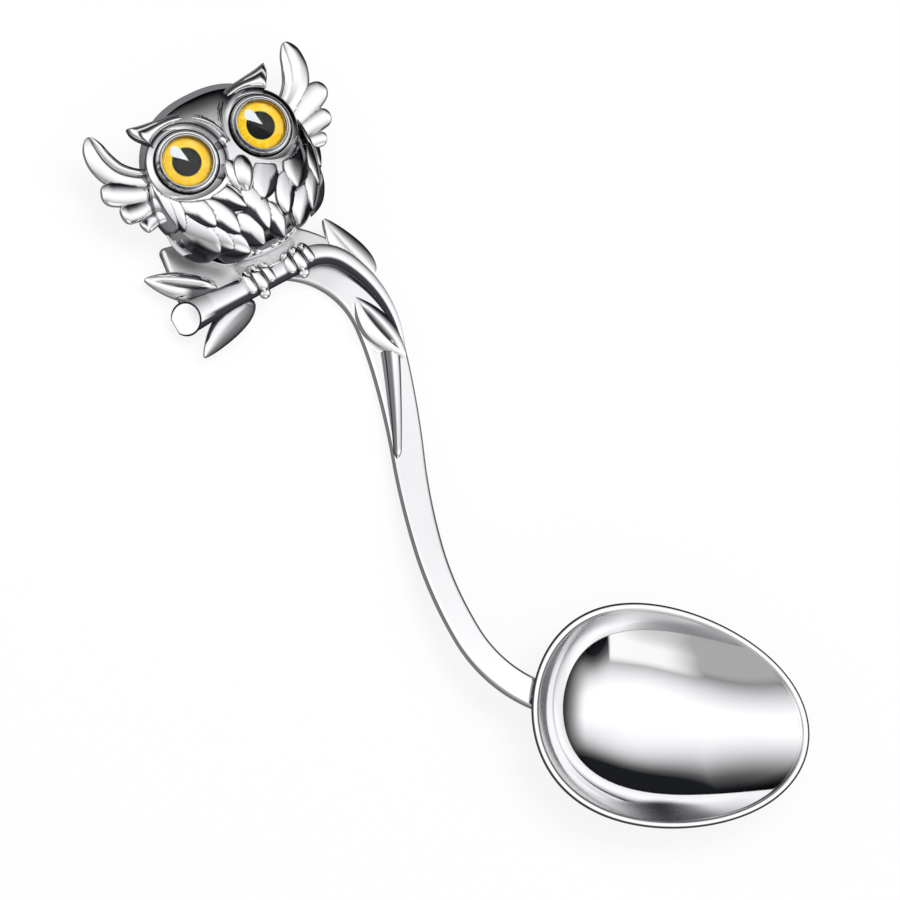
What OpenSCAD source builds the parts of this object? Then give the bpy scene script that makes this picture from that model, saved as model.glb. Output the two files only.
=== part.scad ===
// A small silver spoon with an egg-shaped bowl and a flat handle strip bent in an S. The strip's wide
// flat end carries an owl with glass eyes, sitting on a branch with leaves. Z is up, X runs along the
// spoon towards the bowl's tip, and the origin is the middle of the bowl's small foot on the table.

/* [Bowl] */
// Length of the bowl over its rim
bowl_l = 41.6; // [34:0.1:50]
// Width of the bowl over its rim
bowl_w = 31.2; // [26:0.1:38]
// Height of the rim above the table
bowl_h = 9; // [7:0.1:12]
// Thickness of the bowl's floor
bowl_floor = 1.6; // [0.8:0.1:2]
// Width of the flat lip round the rim
bowl_lip = 0.95; // [0.6:0.05:1.5]
// Turn of the bowl's long axis from the X axis
bowl_turn = 31; // [20:1:45]

/* [Handle strip] */
// Thickness of the strip
strip_t = 1.8; // [1.4:0.1:2.4]
// Width of the strip at the bowl
root_w = 4.2; // [3.6:0.1:5.5]
// Width of the strip where it is narrowest
waist_w = 4; // [3:0.1:4.5]
// Width of the strip's flat end
end_w = 10; // [8:0.1:11]
// Height of the strip's underside at the bowl
root_z = 6.4; // [5:0.1:7]
// Depth to which the root reaches in under the rim, before the bowl's wall trims it
root_reach = 3; // [2:0.1:4]
// Place of the root along X
root_x = -16.8; // [-20:0.1:-15]
// Place of the root across X
root_y = -9.8; // [-12:0.1:-8]
// Length of the tight bend at the bowl
root_bend_l = 13.2; // [11:0.1:15]
// Length of the slack bend that follows
slack_bend_l = 13.8; // [12:0.1:16]
// Length of the shank's first half, which still bends a little the same way
shank_l = 13.4; // [11:0.1:16]
// Length of the shank's second half, which bends a little the other way
counter_l = 11.8; // [9:0.1:14]
// Length of the stretch before the crook
neck_l = 8.2; // [7:0.1:10]
// Length of the flat part of the stretch before the crook
flat_lead = 6; // [4:0.1:7]
// Length of the crook under the branch
crook_l = 23.3; // [21:0.1:26]
// Length of the straight end behind the owl
end_l = 11.4; // [9:0.1:14]
// Size of the rounded long edges
strip_edge = 0.4; // [0.2:0.05:0.6]

/* [Branch and twig] */
// Diameter of the branch at its cut end
branch_d = 4.6; // [3.6:0.1:5.2]
// Diameter of the branch under the right foot
branch_foot_d = 3.1; // [2.6:0.1:3.6]
// Diameter of the branch where it ends at the handle leaf
branch_tip_d = 0.6; // [0.4:0.1:1]
// Length of the branch's straight part
branch_l = 21.5; // [19:0.1:24]
// Radius of the branch's first bend
branch_r1 = 6; // [5:0.1:8]
// Radius of the branch's second bend
branch_r2 = 17; // [15:0.1:20]
// Depth of the flat on which the branch lies
branch_seat = 0.3; // [0.1:0.05:0.5]
// Diameter of the twig at the handle leaf
twig_d = 2.6; // [2:0.1:3]
// Diameter of the twig at its thin end
twig_tip_d = 1.1; // [0.6:0.1:1.4]
// Length of the twig along the strip
twig_l = 17; // [12:0.5:18]

/* [Leaves] */
// Length of the leaf on the handle
leaf_handle_l = 11; // [9:0.1:13]
// Length of the leaf outside the crook
leaf_bend_l = 10.6; // [9:0.1:12]
// Length of the leaf beside the cut end
leaf_left_l = 10.4; // [8:0.1:12]
// Length of the leaf below the branch
leaf_lower_l = 11; // [9:0.1:13]
// Width of the leaves
leaf_w = 4.2; // [3.2:0.1:5]
// Height of a leaf at its edge
leaf_edge = 0.9; // [0.6:0.05:1.4]
// Height of a leaf at its crest
leaf_crest = 1.9; // [1.4:0.05:2.6]
// Depth of the midrib's groove below the crest
leaf_groove = 0.5; // [0.2:0.05:0.8]

/* [Owl] */
// Width of the owl's body
owl_w = 23.5; // [20:0.1:27]
// Height of the owl from breast to crown
owl_h = 25; // [23:0.1:28]
// Depth of the owl from back to breast
owl_d = 10.9; // [9:0.1:13]
// Distance from the branch's axis to the lowest feathers
owl_rise = 3.1; // [2.4:0.1:3.6]
// Height of the owl's widest place above its back
owl_belly_z = 3.6; // [3:0.1:4.2]
// Wall of the hollow casting
owl_wall = 1.3; // [1:0.1:1.8]
// Thickness of the cover in the owl's back
back_t = 0.8; // [0.5:0.1:1.2]
// Clearance round the cover
back_gap = 0.05; // [0.02:0.01:0.1]
// Turn of the branch and the owl from the X axis
owl_turn = 69; // [60:1:78]
// Width of the downy tuft between the feet
tuft_w = 12; // [9:0.5:14]
// Height of the tuft above the owl's back
tuft_h = 3.4; // [2.4:0.1:4]
// Relief of the breast feathers
feather_relief = 0.6; // [0.3:0.05:0.8]
// Length of a breast feather
feather_l = 7.6; // [6:0.1:9]
// Width of a breast feather
feather_w = 4; // [3:0.1:5]

/* [Wings] */
// Distance from the owl's middle to the outermost wing feather
wing_reach = 18.8; // [17:0.1:21]
// Distance from the branch's axis to the highest wing feather
wing_top = 28.6; // [26:0.1:31]
// Height of the wings above the owl's back
wing_z = 3.4; // [2.6:0.1:4.5]
// Rise of a wing feather towards its tip
wing_lift = 2.6; // [1.6:0.1:3.4]
// Thickness of a wing feather
wing_t = 1.7; // [1.2:0.1:2.2]
// Width of the longest wing feather
wing_feather_w = 3.9; // [3:0.1:4.6]

/* [Brows and beak] */
// Width of a brow over the eye
brow_w = 2; // [1.4:0.1:2.6]
// Height of a brow's root
brow_t = 3.6; // [3:0.1:4.2]
// Distance from the eye's middle to the brow's pointed tip
brow_reach = 10; // [9:0.1:11]
// Height of a brow's top above its eye's setting
brow_lift = 0.5; // [0.2:0.05:1]
// Length of the beak
beak_l = 5.2; // [4:0.1:6]
// Width of the beak
beak_w = 3.6; // [3:0.1:4.4]
// Height of the beak above the face
beak_t = 1.6; // [1:0.1:2.2]
// Distance from the branch's axis to the beak's tip
beak_rise = 11.2; // [10:0.1:12]

/* [Eyes] */
// Distance between the eyes' middles
eye_gap = 11.8; // [11.6:0.1:13]
// Distance from the branch's axis to the eyes' middles
eye_rise = 18.7; // [17:0.1:20]
// Outward lean of each eye
eye_lean = 4; // [0:1:8]
// Diameter of the round setting
bezel_d = 11.3; // [10:0.1:11.4]
// Height of the setting's outer step
bezel_step_h = 2.4; // [1.8:0.1:3]
// Height of the setting's collar
bezel_h = 3.4; // [2.8:0.1:3.8]
// Diameter of the collar
collar_d = 8.4; // [7.8:0.1:9]
// Diameter of the bore that holds the glass
glass_bore_d = 7; // [6:0.1:7.4]
// Depth of that bore
glass_bore_depth = 1.6; // [1.2:0.1:2]
// Clearance round what sits in a bore
seat_gap = 0.05; // [0.02:0.01:0.1]
// Thickness of the enamel iris
iris_t = 0.4; // [0.2:0.05:0.6]
// Diameter of the pupil
pupil_d = 4; // [3:0.1:4.6]
// Thickness of the pupil
pupil_t = 0.1; // [0.05:0.01:0.2]
// Height of the glass dome above the collar
glass_rise = 0.8; // [0.4:0.05:1.2]

/* [Feet] */
// Thickness of a toe
toe_d = 1.4; // [1.1:0.05:1.6]
// Distance between neighbouring toes
toe_pitch = 1.45; // [1.4:0.05:1.8]
// Distance from the owl's middle to the left foot
left_foot_out = 3.4; // [2.4:0.1:4]
// Distance from the owl's middle to the right foot
right_foot_out = 3.2; // [2.4:0.1:4]

/* [Hidden] */

// Overrun of cuts
over = 0.5;

// Egg shape of the rim: narrowing towards the tip, and fullness at both ends
egg_share = 0.136;
egg_full_share = 0.079;
// Size of the flat foot, rise of the outer wall, and of the hollow
foot_share = 0.2;
outer_rise_share = 2.8;
inner_rise_share = 3.1;
// Shift of the hollow's deepest place towards the handle, in half lengths
deep_share = 0.12;
// Counts round and up the bowl
bowl_sides = 56;
bowl_levels = 8;

// Heading of the strip at the bowl, and how far each stretch turns, to the left when positive
root_heading = 199.5;
strip_turns = [-41, -16.5, -7.5, 7.5, 8, 91, 0];
strip_ls = [root_bend_l, slack_bend_l, shank_l, counter_l, neck_l, crook_l, end_l];
function run_to(i) = i == 0 ? 0 : run_to(i - 1) + strip_ls[i - 1];
strip_l = run_to(7);
// The strip lies flat from here on
flat_from = run_to(5) - flat_lead;
waist_from_share = 0.21;
widen_share = 1.6;
strip_stations = 64;

// The owl's own place: the middle of the two feet on the branch's axis
owl_x = -82.55;
owl_y = 13.75;
owl_back_z = strip_t;
owl_mid_share = 0.49;
owl_mid_rise = owl_rise + owl_h*owl_mid_share;
owl_round_share = 2.4;
owl_dome_share = 2.2;
// Depth that the owl's round underside would have if it weren't cut flat, and its outline where it is
owl_under_share = 1.67;
owl_base_share = pow(1 - pow(1/owl_under_share, owl_dome_share), 1/owl_dome_share);
owl_sides = 40;
owl_levels = 8;
owl_under_levels = 3;
// The crown of the dome closes at this angle, short of a right angle
owl_crown_turn = 87;

// The branch's straight part ends this far past the owl's middle, and then bends by these angles
branch_past = 4.8;
branch_slant_share = 0.5;
branch_out = branch_l - branch_past;
branch_turn1 = 58;
branch_turn2 = 52;
branch_bend1_l = branch_r1*branch_turn1*PI/180;
branch_bend2_l = branch_r2*branch_turn2*PI/180;
branch_total_l = branch_l + branch_bend1_l + branch_bend2_l;
branch_taper_share = 1.3;
branch_sides = 16;
branch_stations = 34;

// Eyes: floor of the seats in the head, and top of the collar
bezel_depth_share = 0.56;
bezel_z = owl_back_z + owl_d*bezel_depth_share;
bezel_bore_d = bezel_d + 2*seat_gap;
glass_d = glass_bore_d - 2*seat_gap;
round_fn = 48;

// Breast feathers: tip across and up as shares of half width and height, and lean from straight down
feather_shares = [
  [-0.62, 0.12, -24], [-0.26, 0.07, -8], [0.1, 0.03, 6], [0.4, 0.1, 24],
  [-0.78, 0.24, -28], [-0.44, 0.2, -14], [-0.1, 0.17, -2], [0.24, 0.17, 12], [0.58, 0.22, 26],
  [-0.88, 0.39, -24], [-0.56, 0.34, -16], [-0.24, 0.31, -6], [0.12, 0.31, 4], [0.44, 0.34, 16],
  [0.78, 0.38, 22]
];
// Wing feathers: root and tip across and up, as shares of the reach and the top, width, layer
wing_shares = [
  [0.56, 0.64, 0.87, 0.985, 1, 0],
  [0.56, 0.6, 0.985, 0.715, 0.72, 0],
  [0.54, 0.55, 0.915, 0.585, 0.6, 0],
  [0.52, 0.5, 0.8, 0.485, 0.5, 0],
  [0.52, 0.68, 0.76, 0.79, 0.62, 0.5],
  [0.5, 0.6, 0.79, 0.665, 0.5, 0.5],
  [0.5, 0.54, 0.75, 0.56, 0.45, 0.5]
];

function blend(a, b, k) = a + (b - a)*k;

// Solid through rings of equal counts, closed at both ends by fans from the ring's middle
module skin(rings) {
  n = len(rings[0]);
  m = len(rings);
  ends = [for (r = [rings[0], rings[m - 1]]) [for (k = [0:2]) sum_of([for (p = r) p[k]])/n]];
  polyhedron(
    points = concat([for (r = rings) for (p = r) p], ends),
    faces = concat(
      [for (i = [0:n - 1]) [m*n, i, (i + 1)%n]],
      [for (j = [0:m - 2]) for (i = [0:n - 1]) [j*n + (i + 1)%n, j*n + i, (j + 1)*n + i]],
      [for (j = [0:m - 2]) for (i = [0:n - 1]) [j*n + (i + 1)%n, (j + 1)*n + i, (j + 1)*n + (i + 1)%n]],
      [for (i = [0:n - 1]) [m*n + 1, (m - 1)*n + (i + 1)%n, (m - 1)*n + i]]));
}
function sum_of(v, i = 0) = i < len(v) ? v[i] + sum_of(v, i + 1) : 0;

// Place and heading after a stretch of length l from p, which turns by a, to the left when positive
function after_bend(p, l, a) =
  a == 0 ? [p[0] + l*cos(p[2]), p[1] + l*sin(p[2]), p[2]] :
  let (r = l*180/(PI*a)) [
    p[0] + r*(sin(p[2] + a) - sin(p[2])),
    p[1] - r*(cos(p[2] + a) - cos(p[2])),
    p[2] + a
  ];

// Bowl
function egg(f, l, w) = [
  l/2*cos(f),
  w/2*sin(f)*(1 - egg_share*cos(f) + egg_full_share*cos(f)*cos(f))
];
function egg_ring(l, w, s, shift, z) = [
  for (i = [0:bowl_sides - 1])
    let (e = egg(i*360/bowl_sides, l, w)) [blend(shift, e[0], s), s*e[1], z]
];
function outer_ring(k) = let (s = blend(foot_share, 1, k))
  egg_ring(bowl_l, bowl_w, s, 0, bowl_h*pow(k, outer_rise_share));
function inner_ring(k) =
  egg_ring(bowl_l - 2*bowl_lip, bowl_w - 2*bowl_lip, k, -deep_share*bowl_l/2,
    blend(bowl_floor, bowl_h, pow(k, inner_rise_share)));
bowl_outer = [for (i = [0:bowl_levels]) outer_ring(sin(90*i/bowl_levels))];
bowl_inner = [for (i = [bowl_levels:-1:1]) inner_ring(sin(90*i/bowl_levels))];

module bowl() {
  color("gainsboro") rotate([0, 0, bowl_turn]) skin(concat(bowl_outer, bowl_inner));
}
module bowl_filled() {
  rotate([0, 0, bowl_turn]) skin(bowl_outer);
}

// Handle strip: its middle line from above, its width and the height of its underside
function strip_place(i) = i == 0 ? [root_x, root_y, root_heading] :
  after_bend(strip_place(i - 1), strip_ls[i - 1], strip_turns[i - 1]);
strip_places = [for (i = [0:6]) strip_place(i)];
function spine(s) =
  let (i = s < 0 ? 0 : max([for (i = [0:6]) if (s >= run_to(i)) i]), d = s - run_to(i))
  after_bend(strip_places[i], d, s < 0 ? 0 : strip_turns[i]*d/strip_ls[i]);
function strip_w(s) =
  let (k = max(0, s/strip_l), w = waist_from_share)
  k < w ? blend(root_w, waist_w, 1 - pow(1 - k/w, 2)) :
  blend(waist_w, end_w, pow((k - w)/(1 - w), widen_share));
function strip_z(s) =
  s < 0 ? root_z :
  s > flat_from ? 0 :
  let (k = s/flat_from) root_z*(1 + 2*k)*pow(1 - k, 2);
// Point beside the middle line, to the left of the way from the bowl, at a height above the underside
function on_strip(s, side, up) =
  let (p = spine(s)) [p[0] - side*sin(p[2]), p[1] + side*cos(p[2]), strip_z(s) + up];
function strip_ring(s) = let (h = strip_w(s)/2, e = strip_edge, t = strip_t) [
  for (q = [[-h, e], [e - h, 0], [h - e, 0], [h, e], [h, t - e], [h - e, t], [e - h, t], [-h, t - e]])
    on_strip(s, q[0], q[1])
];

module handle_strip() {
  color("gainsboro") difference() {
    skin([for (i = [0:strip_stations]) strip_ring(blend(-root_reach, strip_l, i/strip_stations))]);
    bowl_filled();
  }
}

// The owl's frame: x across to its right wing along the branch, y up to its crown
module in_owl_frame() {
  translate([owl_x, owl_y, 0]) rotate([0, 0, owl_turn]) children();
}

// Branch, in the owl's frame
branch_start = [-branch_out, 0, 0];
branch_a = after_bend(branch_start, branch_l, 0);
branch_b = after_bend(branch_a, branch_bend1_l, -branch_turn1);
function branch_at(s) =
  s < branch_l ? after_bend(branch_start, s, 0) :
  let (d = s - branch_l, k = d/branch_bend1_l)
  k < 1 ? after_bend(branch_a, d, -branch_turn1*k) :
  let (d2 = d - branch_bend1_l) after_bend(branch_b, d2, -branch_turn2*d2/branch_bend2_l);
function branch_radius(s) =
  s < branch_l ? blend(branch_foot_d, branch_d, pow(1 - max(0, s)/branch_l, 2))/2 :
  blend(branch_foot_d, branch_tip_d,
    pow((s - branch_l)/(branch_total_l - branch_l), branch_taper_share))/2;
function branch_z(s) = strip_t - branch_seat + branch_radius(s);
// Ring round the branch, cut off flat where it lies, with its upper side set back by slant
function branch_ring(s, slant) = let (p = branch_at(s), r = branch_radius(s)) [
  for (i = [0:branch_sides - 1])
    let (
      a = i*360/branch_sides,
      side = r*cos(a),
      up = max(r*sin(a), branch_seat - r),
      back = slant*(up + r)
    )
    [p[0] - side*sin(p[2]) + back*cos(p[2]), p[1] + side*cos(p[2]) + back*sin(p[2]), branch_z(s) + up]
];
module branch_solid() {
  skin(concat(
    [branch_ring(0, branch_slant_share)],
    [for (i = [1:branch_stations])
      branch_ring(blend(branch_d, branch_total_l, (i - 1)/(branch_stations - 1)) + over, 0)]));
}
module branch() {
  color("silver") difference() {
    in_owl_frame() branch_solid();
    leaf_handle_solid();
  }
}
// Twig on the strip, from the handle leaf towards the bowl
twig_from = flat_from + twig_d;
twig_side_share = -0.1;
twig_tip_side_share = 0.34;
twig_seat_share = 0.5;
twig_sides = 12;
twig_stations = 14;
function twig_ring(k) =
  let (
    s = twig_from - k*twig_l,
    r = blend(twig_d, twig_tip_d, k)/2,
    side = blend(twig_side_share, twig_tip_side_share, k)*strip_w(s)
  )
  [for (i = [0:twig_sides - 1])
    let (a = -i*360/twig_sides)
    on_strip(s, side + r*cos(a), strip_t + max(0, r*(sin(a) + twig_seat_share)))];
module twig() {
  color("silver") difference() {
    skin([for (i = [0:twig_stations]) twig_ring(i/twig_stations)]);
    in_owl_frame() branch_solid();
    leaf_handle_solid();
  }
}

// Leaf along +x from its stem, flat below, with raised sides and a groove along its midrib
leaf_stations = 12;
leaf_round_share = 0.75;
leaf_stem_share = 0.06;
leaf_crest_share = 0.55;
leaf_groove_share = 0.12;
leaf_groove_side_share = 0.33;
function leaf_half(k, w) =
  w/2*blend(leaf_stem_share, 1, pow(sin(180*pow(k, leaf_round_share)), leaf_round_share));
function leaf_ring(k, l, w) =
  let (
    h = leaf_half(k, w), c = 2*h/w, top = blend(leaf_edge, leaf_crest, c),
    low = top - leaf_groove*c, side = blend(top, low, leaf_groove_side_share),
    a = leaf_crest_share, b = leaf_groove_share
  )
  [for (q = [
      [1, 0], [1, leaf_edge], [a, top], [b, side], [0, low],
      [-b, side], [-a, top], [-1, leaf_edge], [-1, 0]])
    [k*l, h*q[0], q[1]]];
module leaf_blade(l, w) {
  skin([for (i = [0:leaf_stations]) leaf_ring(i/leaf_stations, l, w)]);
}
// Leaf from a stem place of the owl's frame: across, up and the way that it points
module leaf_solid(at, l) {
  in_owl_frame() translate([at[0], at[1], strip_t]) rotate([0, 0, at[2]]) leaf_blade(l, leaf_w);
}
module leaf(at, l) {
  difference() {
    leaf_solid(at, l);
    in_owl_frame() branch_solid();
  }
}
// The left leaf keeps its place beside the cut end, and the handle leaf beside the branch's thin end
leaf_left_in = 8;
leaf_left_up = 1.95;
leaf_left_turn = 146;
leaf_lower_out = 4.9;
leaf_lower_down = 1.85;
leaf_lower_turn = 201;
leaf_bend_across = 13;
leaf_bend_down = 6.3;
leaf_bend_turn = 105;
leaf_handle_past = 1.5;
leaf_handle_side = 0.3;
leaf_handle_turn = 102;
branch_end = branch_at(branch_total_l);
leaf_handle_stem = after_bend(branch_end, leaf_handle_past, 0);
module leaf_left() {
  color("silver") leaf([leaf_left_in - branch_out, leaf_left_up, leaf_left_turn], leaf_left_l);
}
module leaf_lower() {
  color("silver") leaf([-leaf_lower_out, -leaf_lower_down, leaf_lower_turn], leaf_lower_l);
}
module leaf_bend() {
  color("silver") leaf([leaf_bend_across, -leaf_bend_down, leaf_bend_turn], leaf_bend_l);
}
module leaf_handle_solid() {
  p = leaf_handle_stem;
  leaf_solid(
    [
      p[0] + leaf_handle_side*sin(p[2]),
      p[1] - leaf_handle_side*cos(p[2]),
      leaf_handle_turn
    ],
    leaf_handle_l);
}
module leaf_handle() {
  color("silver") leaf_handle_solid();
}

// Owl's round body: how far out a place lies, and the height of the surface there
function owl_out(x, y) =
  let (n = owl_round_share)
  pow(pow(abs(x)/(owl_w/2), n) + pow(abs(y - owl_mid_rise)/(owl_h/2), n), 1/n);
function owl_top(x, y) =
  let (n = owl_dome_share, o = min(1, owl_out(x, y)))
  owl_back_z + owl_belly_z + (owl_d - owl_belly_z)*pow(1 - pow(o, n), 1/n);
function owl_ring(inset, o, z) = [
  for (i = [0:owl_sides - 1])
    let (a = i*360/owl_sides, e = 2/owl_round_share)
    [
      (owl_w/2 - inset)*o*sign(cos(a))*pow(abs(cos(a)), e),
      owl_mid_rise + (owl_h/2 - inset)*o*sign(sin(a))*pow(abs(sin(a)), e),
      z
    ]
];
module owl_solid() {
  e = 2/owl_dome_share;
  skin(concat(
    [for (i = [0:owl_under_levels - 1])
      let (drop = 1 - i/owl_under_levels, o = pow(1 - pow(drop/owl_under_share, owl_dome_share), e/2))
      owl_ring(0, o, owl_back_z + owl_belly_z*(1 - drop))],
    [for (i = [0:owl_levels])
      let (a = owl_crown_turn*i/owl_levels)
      owl_ring(0, pow(cos(a), e), owl_back_z + owl_belly_z + (owl_d - owl_belly_z)*pow(sin(a), e))]));
}
// The casting's hollow, between the cover and the seats of the eyes
owl_hollow_levels = 4;
owl_hollow_turn = 75;
module owl_hollow() {
  z = owl_back_z + back_t;
  depth = bezel_z - owl_wall - z;
  e = 2/owl_dome_share;
  skin([for (i = [0:owl_hollow_levels])
    let (a = owl_hollow_turn*i/owl_hollow_levels)
    owl_ring(owl_wall, owl_base_share*pow(cos(a), e), z + depth*pow(sin(a), e))]);
}
// Downy tuft that fills the space between the breast and the branch
tuft_levels = 4;
tuft_rise_share = 0.75;
tuft_turn = 80;
module owl_tuft() {
  skin([for (i = [0:tuft_levels])
    let (a = tuft_turn*i/tuft_levels)
    [for (j = [0:owl_sides - 1])
      let (f = j*360/owl_sides)
      [tuft_w/2*cos(a)*cos(f), owl_rise*(1 + tuft_rise_share*cos(a)*sin(f)),
        owl_back_z + tuft_h*sin(a)]]]);
}
module owl_cover(inset, z, t) {
  translate([0, 0, z]) linear_extrude(t)
    polygon([for (p = owl_ring(inset, owl_base_share, 0)) [p[0], p[1]]]);
}

// Breast feather that follows the body, from its hidden root to its pointed tip
feather_stations = 7;
feather_tip_share = 0.08;
feather_full_share = 0.8;
feather_round_share = 0.7;
feather_edge_share = 0.6;
feather_rib_share = 0.8;
function feather_half(k) =
  feather_w/2*blend(feather_tip_share, 1, pow(sin(180*pow(k, feather_full_share)), feather_round_share));
function feather_point(x, y, lean, k, across, lift) =
  let (
    back = (1 - k)*feather_l,
    px = x - back*sin(lean) + across*cos(lean),
    py = y + back*cos(lean) + across*sin(lean)
  )
  [px, py, owl_top(px, py) + lift];
function feather_ring(x, y, lean, k) =
  let (h = feather_half(k), r = feather_relief, edge = r*k*feather_edge_share, rib = r*k*feather_rib_share)
  [for (q = [[-1, -r], [-1, edge], [-0.5, r*k], [0, rib], [0.5, r*k], [1, edge], [1, -r]])
    feather_point(x, y, lean, k, -h*q[0], q[1])];
module feather(f) {
  skin([for (i = [0:feather_stations])
    feather_ring(f[0]*owl_w/2, owl_rise + f[1]*owl_h, f[2], i/feather_stations)]);
}

// Seat of an eye: side is -1 for the left and 1 for the right
module at_eye(side) {
  translate([side*eye_gap/2, eye_rise, bezel_z]) rotate([0, side*eye_lean, 0]) children();
}
module owl_body() {
  color("silver") in_owl_frame() difference() {
    union() {
      owl_solid();
      owl_tuft();
      for (f = feather_shares) feather(f);
    }
    owl_hollow();
    owl_cover(owl_wall, owl_back_z - over, back_t + over);
    for (side = [-1, 1]) at_eye(side) cylinder(d = bezel_bore_d, h = owl_d, $fn = round_fn);
    beak_solid();
    branch_solid();
  }
}
module owl_back() {
  color("silver") in_owl_frame() difference() {
    owl_cover(owl_wall + back_gap, owl_back_z, back_t);
    branch_solid();
  }
}

// Wing feather: a finger from its root under the body's side to its round tip
wing_feather_sides = 10;
wing_feather_stations = 8;
wing_bow_share = 0.35;
wing_taper_share = 0.7;
wing_blunt_share = 0.15;
function wing_round(k) =
  k < wing_taper_share ? 1 :
  max(wing_blunt_share, sqrt(max(0, 1 - pow((k - wing_taper_share)/(1 - wing_taper_share), 2))));
function wing_feather_ring(f, k) =
  let (
    x0 = f[0]*wing_reach, y0 = f[1]*wing_top,
    x1 = f[2]*wing_reach, y1 = f[3]*wing_top,
    a = atan2(y1 - y0, x1 - x0),
    bow = wing_feather_w*wing_bow_share*f[4]*sin(180*k),
    w = wing_feather_w*f[4]/2*wing_round(k),
    t = wing_t/2*wing_round(k),
    x = blend(x0, x1, k) + bow*sin(a),
    y = blend(y0, y1, k) - bow*cos(a),
    z = owl_back_z + wing_z + wing_lift*k*k + f[5]*wing_t
  )
  [for (i = [0:wing_feather_sides - 1])
    let (c = 360*i/wing_feather_sides)
    [x - w*cos(c)*sin(a), y + w*cos(c)*cos(a), z + t*sin(c)]];
module wing() {
  difference() {
    union() for (f = wing_shares)
      skin([for (i = [0:wing_feather_stations]) wing_feather_ring(f, i/wing_feather_stations)]);
    owl_solid();
    at_eye(1) cylinder(d = bezel_bore_d, h = owl_d, $fn = round_fn);
  }
}
module left_wing() {
  color("silver") in_owl_frame() mirror([1, 0, 0]) wing();
}
module right_wing() {
  color("silver") in_owl_frame() wing();
}

// Brow: hugs the setting from beside the beak to above the eye, and ends in a pointed tuft
brow_from_turn = 186;
brow_to_turn = 36;
brow_stations = 20;
brow_tuft_share = 0.6;
brow_tip_share = 0.88;
brow_curl_share = 4;
brow_root_share = 0.35;
brow_end_share = 0.1;
brow_thin_share = 0.4;
// Points across a brow: out from the setting, and down from its top
brow_section_shares = [[0, 1], [0, 0.1], [0.4, 0], [1, 0.25], [1, 0.7]];
function brow_width(k) =
  k < brow_tuft_share ? brow_w*min(1, blend(brow_root_share, 1, 3*k)) :
  k < brow_tip_share ?
    blend(brow_w, brow_reach - bezel_bore_d/2,
      pow((k - brow_tuft_share)/(brow_tip_share - brow_tuft_share), brow_curl_share)) :
  blend(brow_reach - bezel_bore_d/2, brow_w*brow_end_share, sqrt((k - brow_tip_share)/(1 - brow_tip_share)));
function brow_ring(k) =
  let (
    a = blend(brow_from_turn, brow_to_turn, k),
    w = brow_width(k),
    r = bezel_bore_d/2,
    x = eye_gap/2 + (r + w/2)*cos(a),
    y = eye_rise + (r + w/2)*sin(a),
    t = brow_t*blend(1, brow_thin_share, k),
    z = max(bezel_z + bezel_step_h, owl_top(x, y)) + brow_lift
  )
  [for (q = brow_section_shares)
    [eye_gap/2 + (r + w*q[0])*cos(a), eye_rise + (r + w*q[0])*sin(a), z - t*q[1]]];
module brow() {
  difference() {
    skin([for (i = [brow_stations:-1:0]) brow_ring(i/brow_stations)]);
    translate([-brow_w, 0, 0]) cube([brow_w, owl_rise + owl_h, owl_back_z + 2*owl_d]);
    owl_solid();
    at_eye(1) cylinder(d = bezel_bore_d, h = owl_d, $fn = round_fn);
  }
}
module left_brow() {
  color("silver") in_owl_frame() mirror([1, 0, 0]) brow();
}
module right_brow() {
  color("silver") in_owl_frame() brow();
}

// Beak: a drop that hooks over the face, wide above and pointed below
beak_stations = 8;
beak_full_share = 0.6;
beak_round_share = 0.8;
beak_tip_share = 0.08;
beak_end_share = 0.1;
// Points across the beak: as shares of its half width and of its height above the face
beak_section_shares = [[-1, -1.2], [-1, 0.1], [-0.6, 0.75], [0, 1], [0.6, 0.75], [1, 0.1], [1, -1.2]];
function beak_ring(k) =
  let (
    w = beak_w/2*max(beak_tip_share, pow(sin(180*pow(1 - k, beak_full_share)), beak_round_share)),
    y = beak_rise + beak_l*(1 - k),
    h = beak_t*max(beak_end_share, sin(180*k)),
    z = owl_top(0, y)
  )
  [for (q = beak_section_shares) [-w*q[0], y, z + h*q[1]]];
module beak_solid() {
  difference() {
    skin([for (i = [0:beak_stations]) beak_ring(i/beak_stations)]);
    for (side = [-1, 1]) at_eye(side) cylinder(d = bezel_bore_d, h = owl_d, $fn = round_fn);
  }
}
module beak() {
  color("silver") in_owl_frame() beak_solid();
}

// Eyes
module bezel() {
  difference() {
    union() {
      cylinder(d = bezel_d, h = bezel_step_h, $fn = round_fn);
      cylinder(d = collar_d, h = bezel_h, $fn = round_fn);
    }
    translate([0, 0, bezel_h - glass_bore_depth])
      cylinder(d = glass_bore_d, h = glass_bore_depth + over, $fn = round_fn);
  }
}
module iris() {
  translate([0, 0, bezel_h - glass_bore_depth]) cylinder(d = glass_d, h = iris_t, $fn = round_fn);
}
module pupil() {
  translate([0, 0, bezel_h - glass_bore_depth + iris_t]) cylinder(d = pupil_d, h = pupil_t, $fn = round_fn);
}
// Sphere radius of a cap over the glass, of the given rise
glass_sphere_r = (pow(glass_d/2, 2) + pow(glass_rise, 2))/(2*glass_rise);
module eye_glass() {
  difference() {
    translate([0, 0, bezel_h - glass_bore_depth + iris_t]) intersection() {
      cylinder(d = glass_d, h = glass_bore_depth - iris_t + glass_rise, $fn = round_fn);
      translate([0, 0, glass_bore_depth - iris_t + glass_rise - glass_sphere_r])
        sphere(r = glass_sphere_r, $fn = round_fn);
    }
    translate([0, 0, -over]) pupil();
    pupil();
  }
}
module left_eye_bezel() {
  color("silver") in_owl_frame() at_eye(-1) bezel();
}
module right_eye_bezel() {
  color("silver") in_owl_frame() at_eye(1) bezel();
}
module left_iris() {
  color("gold") in_owl_frame() at_eye(-1) iris();
}
module right_iris() {
  color("gold") in_owl_frame() at_eye(1) iris();
}
module left_pupil() {
  color("black") in_owl_frame() at_eye(-1) pupil();
}
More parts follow.
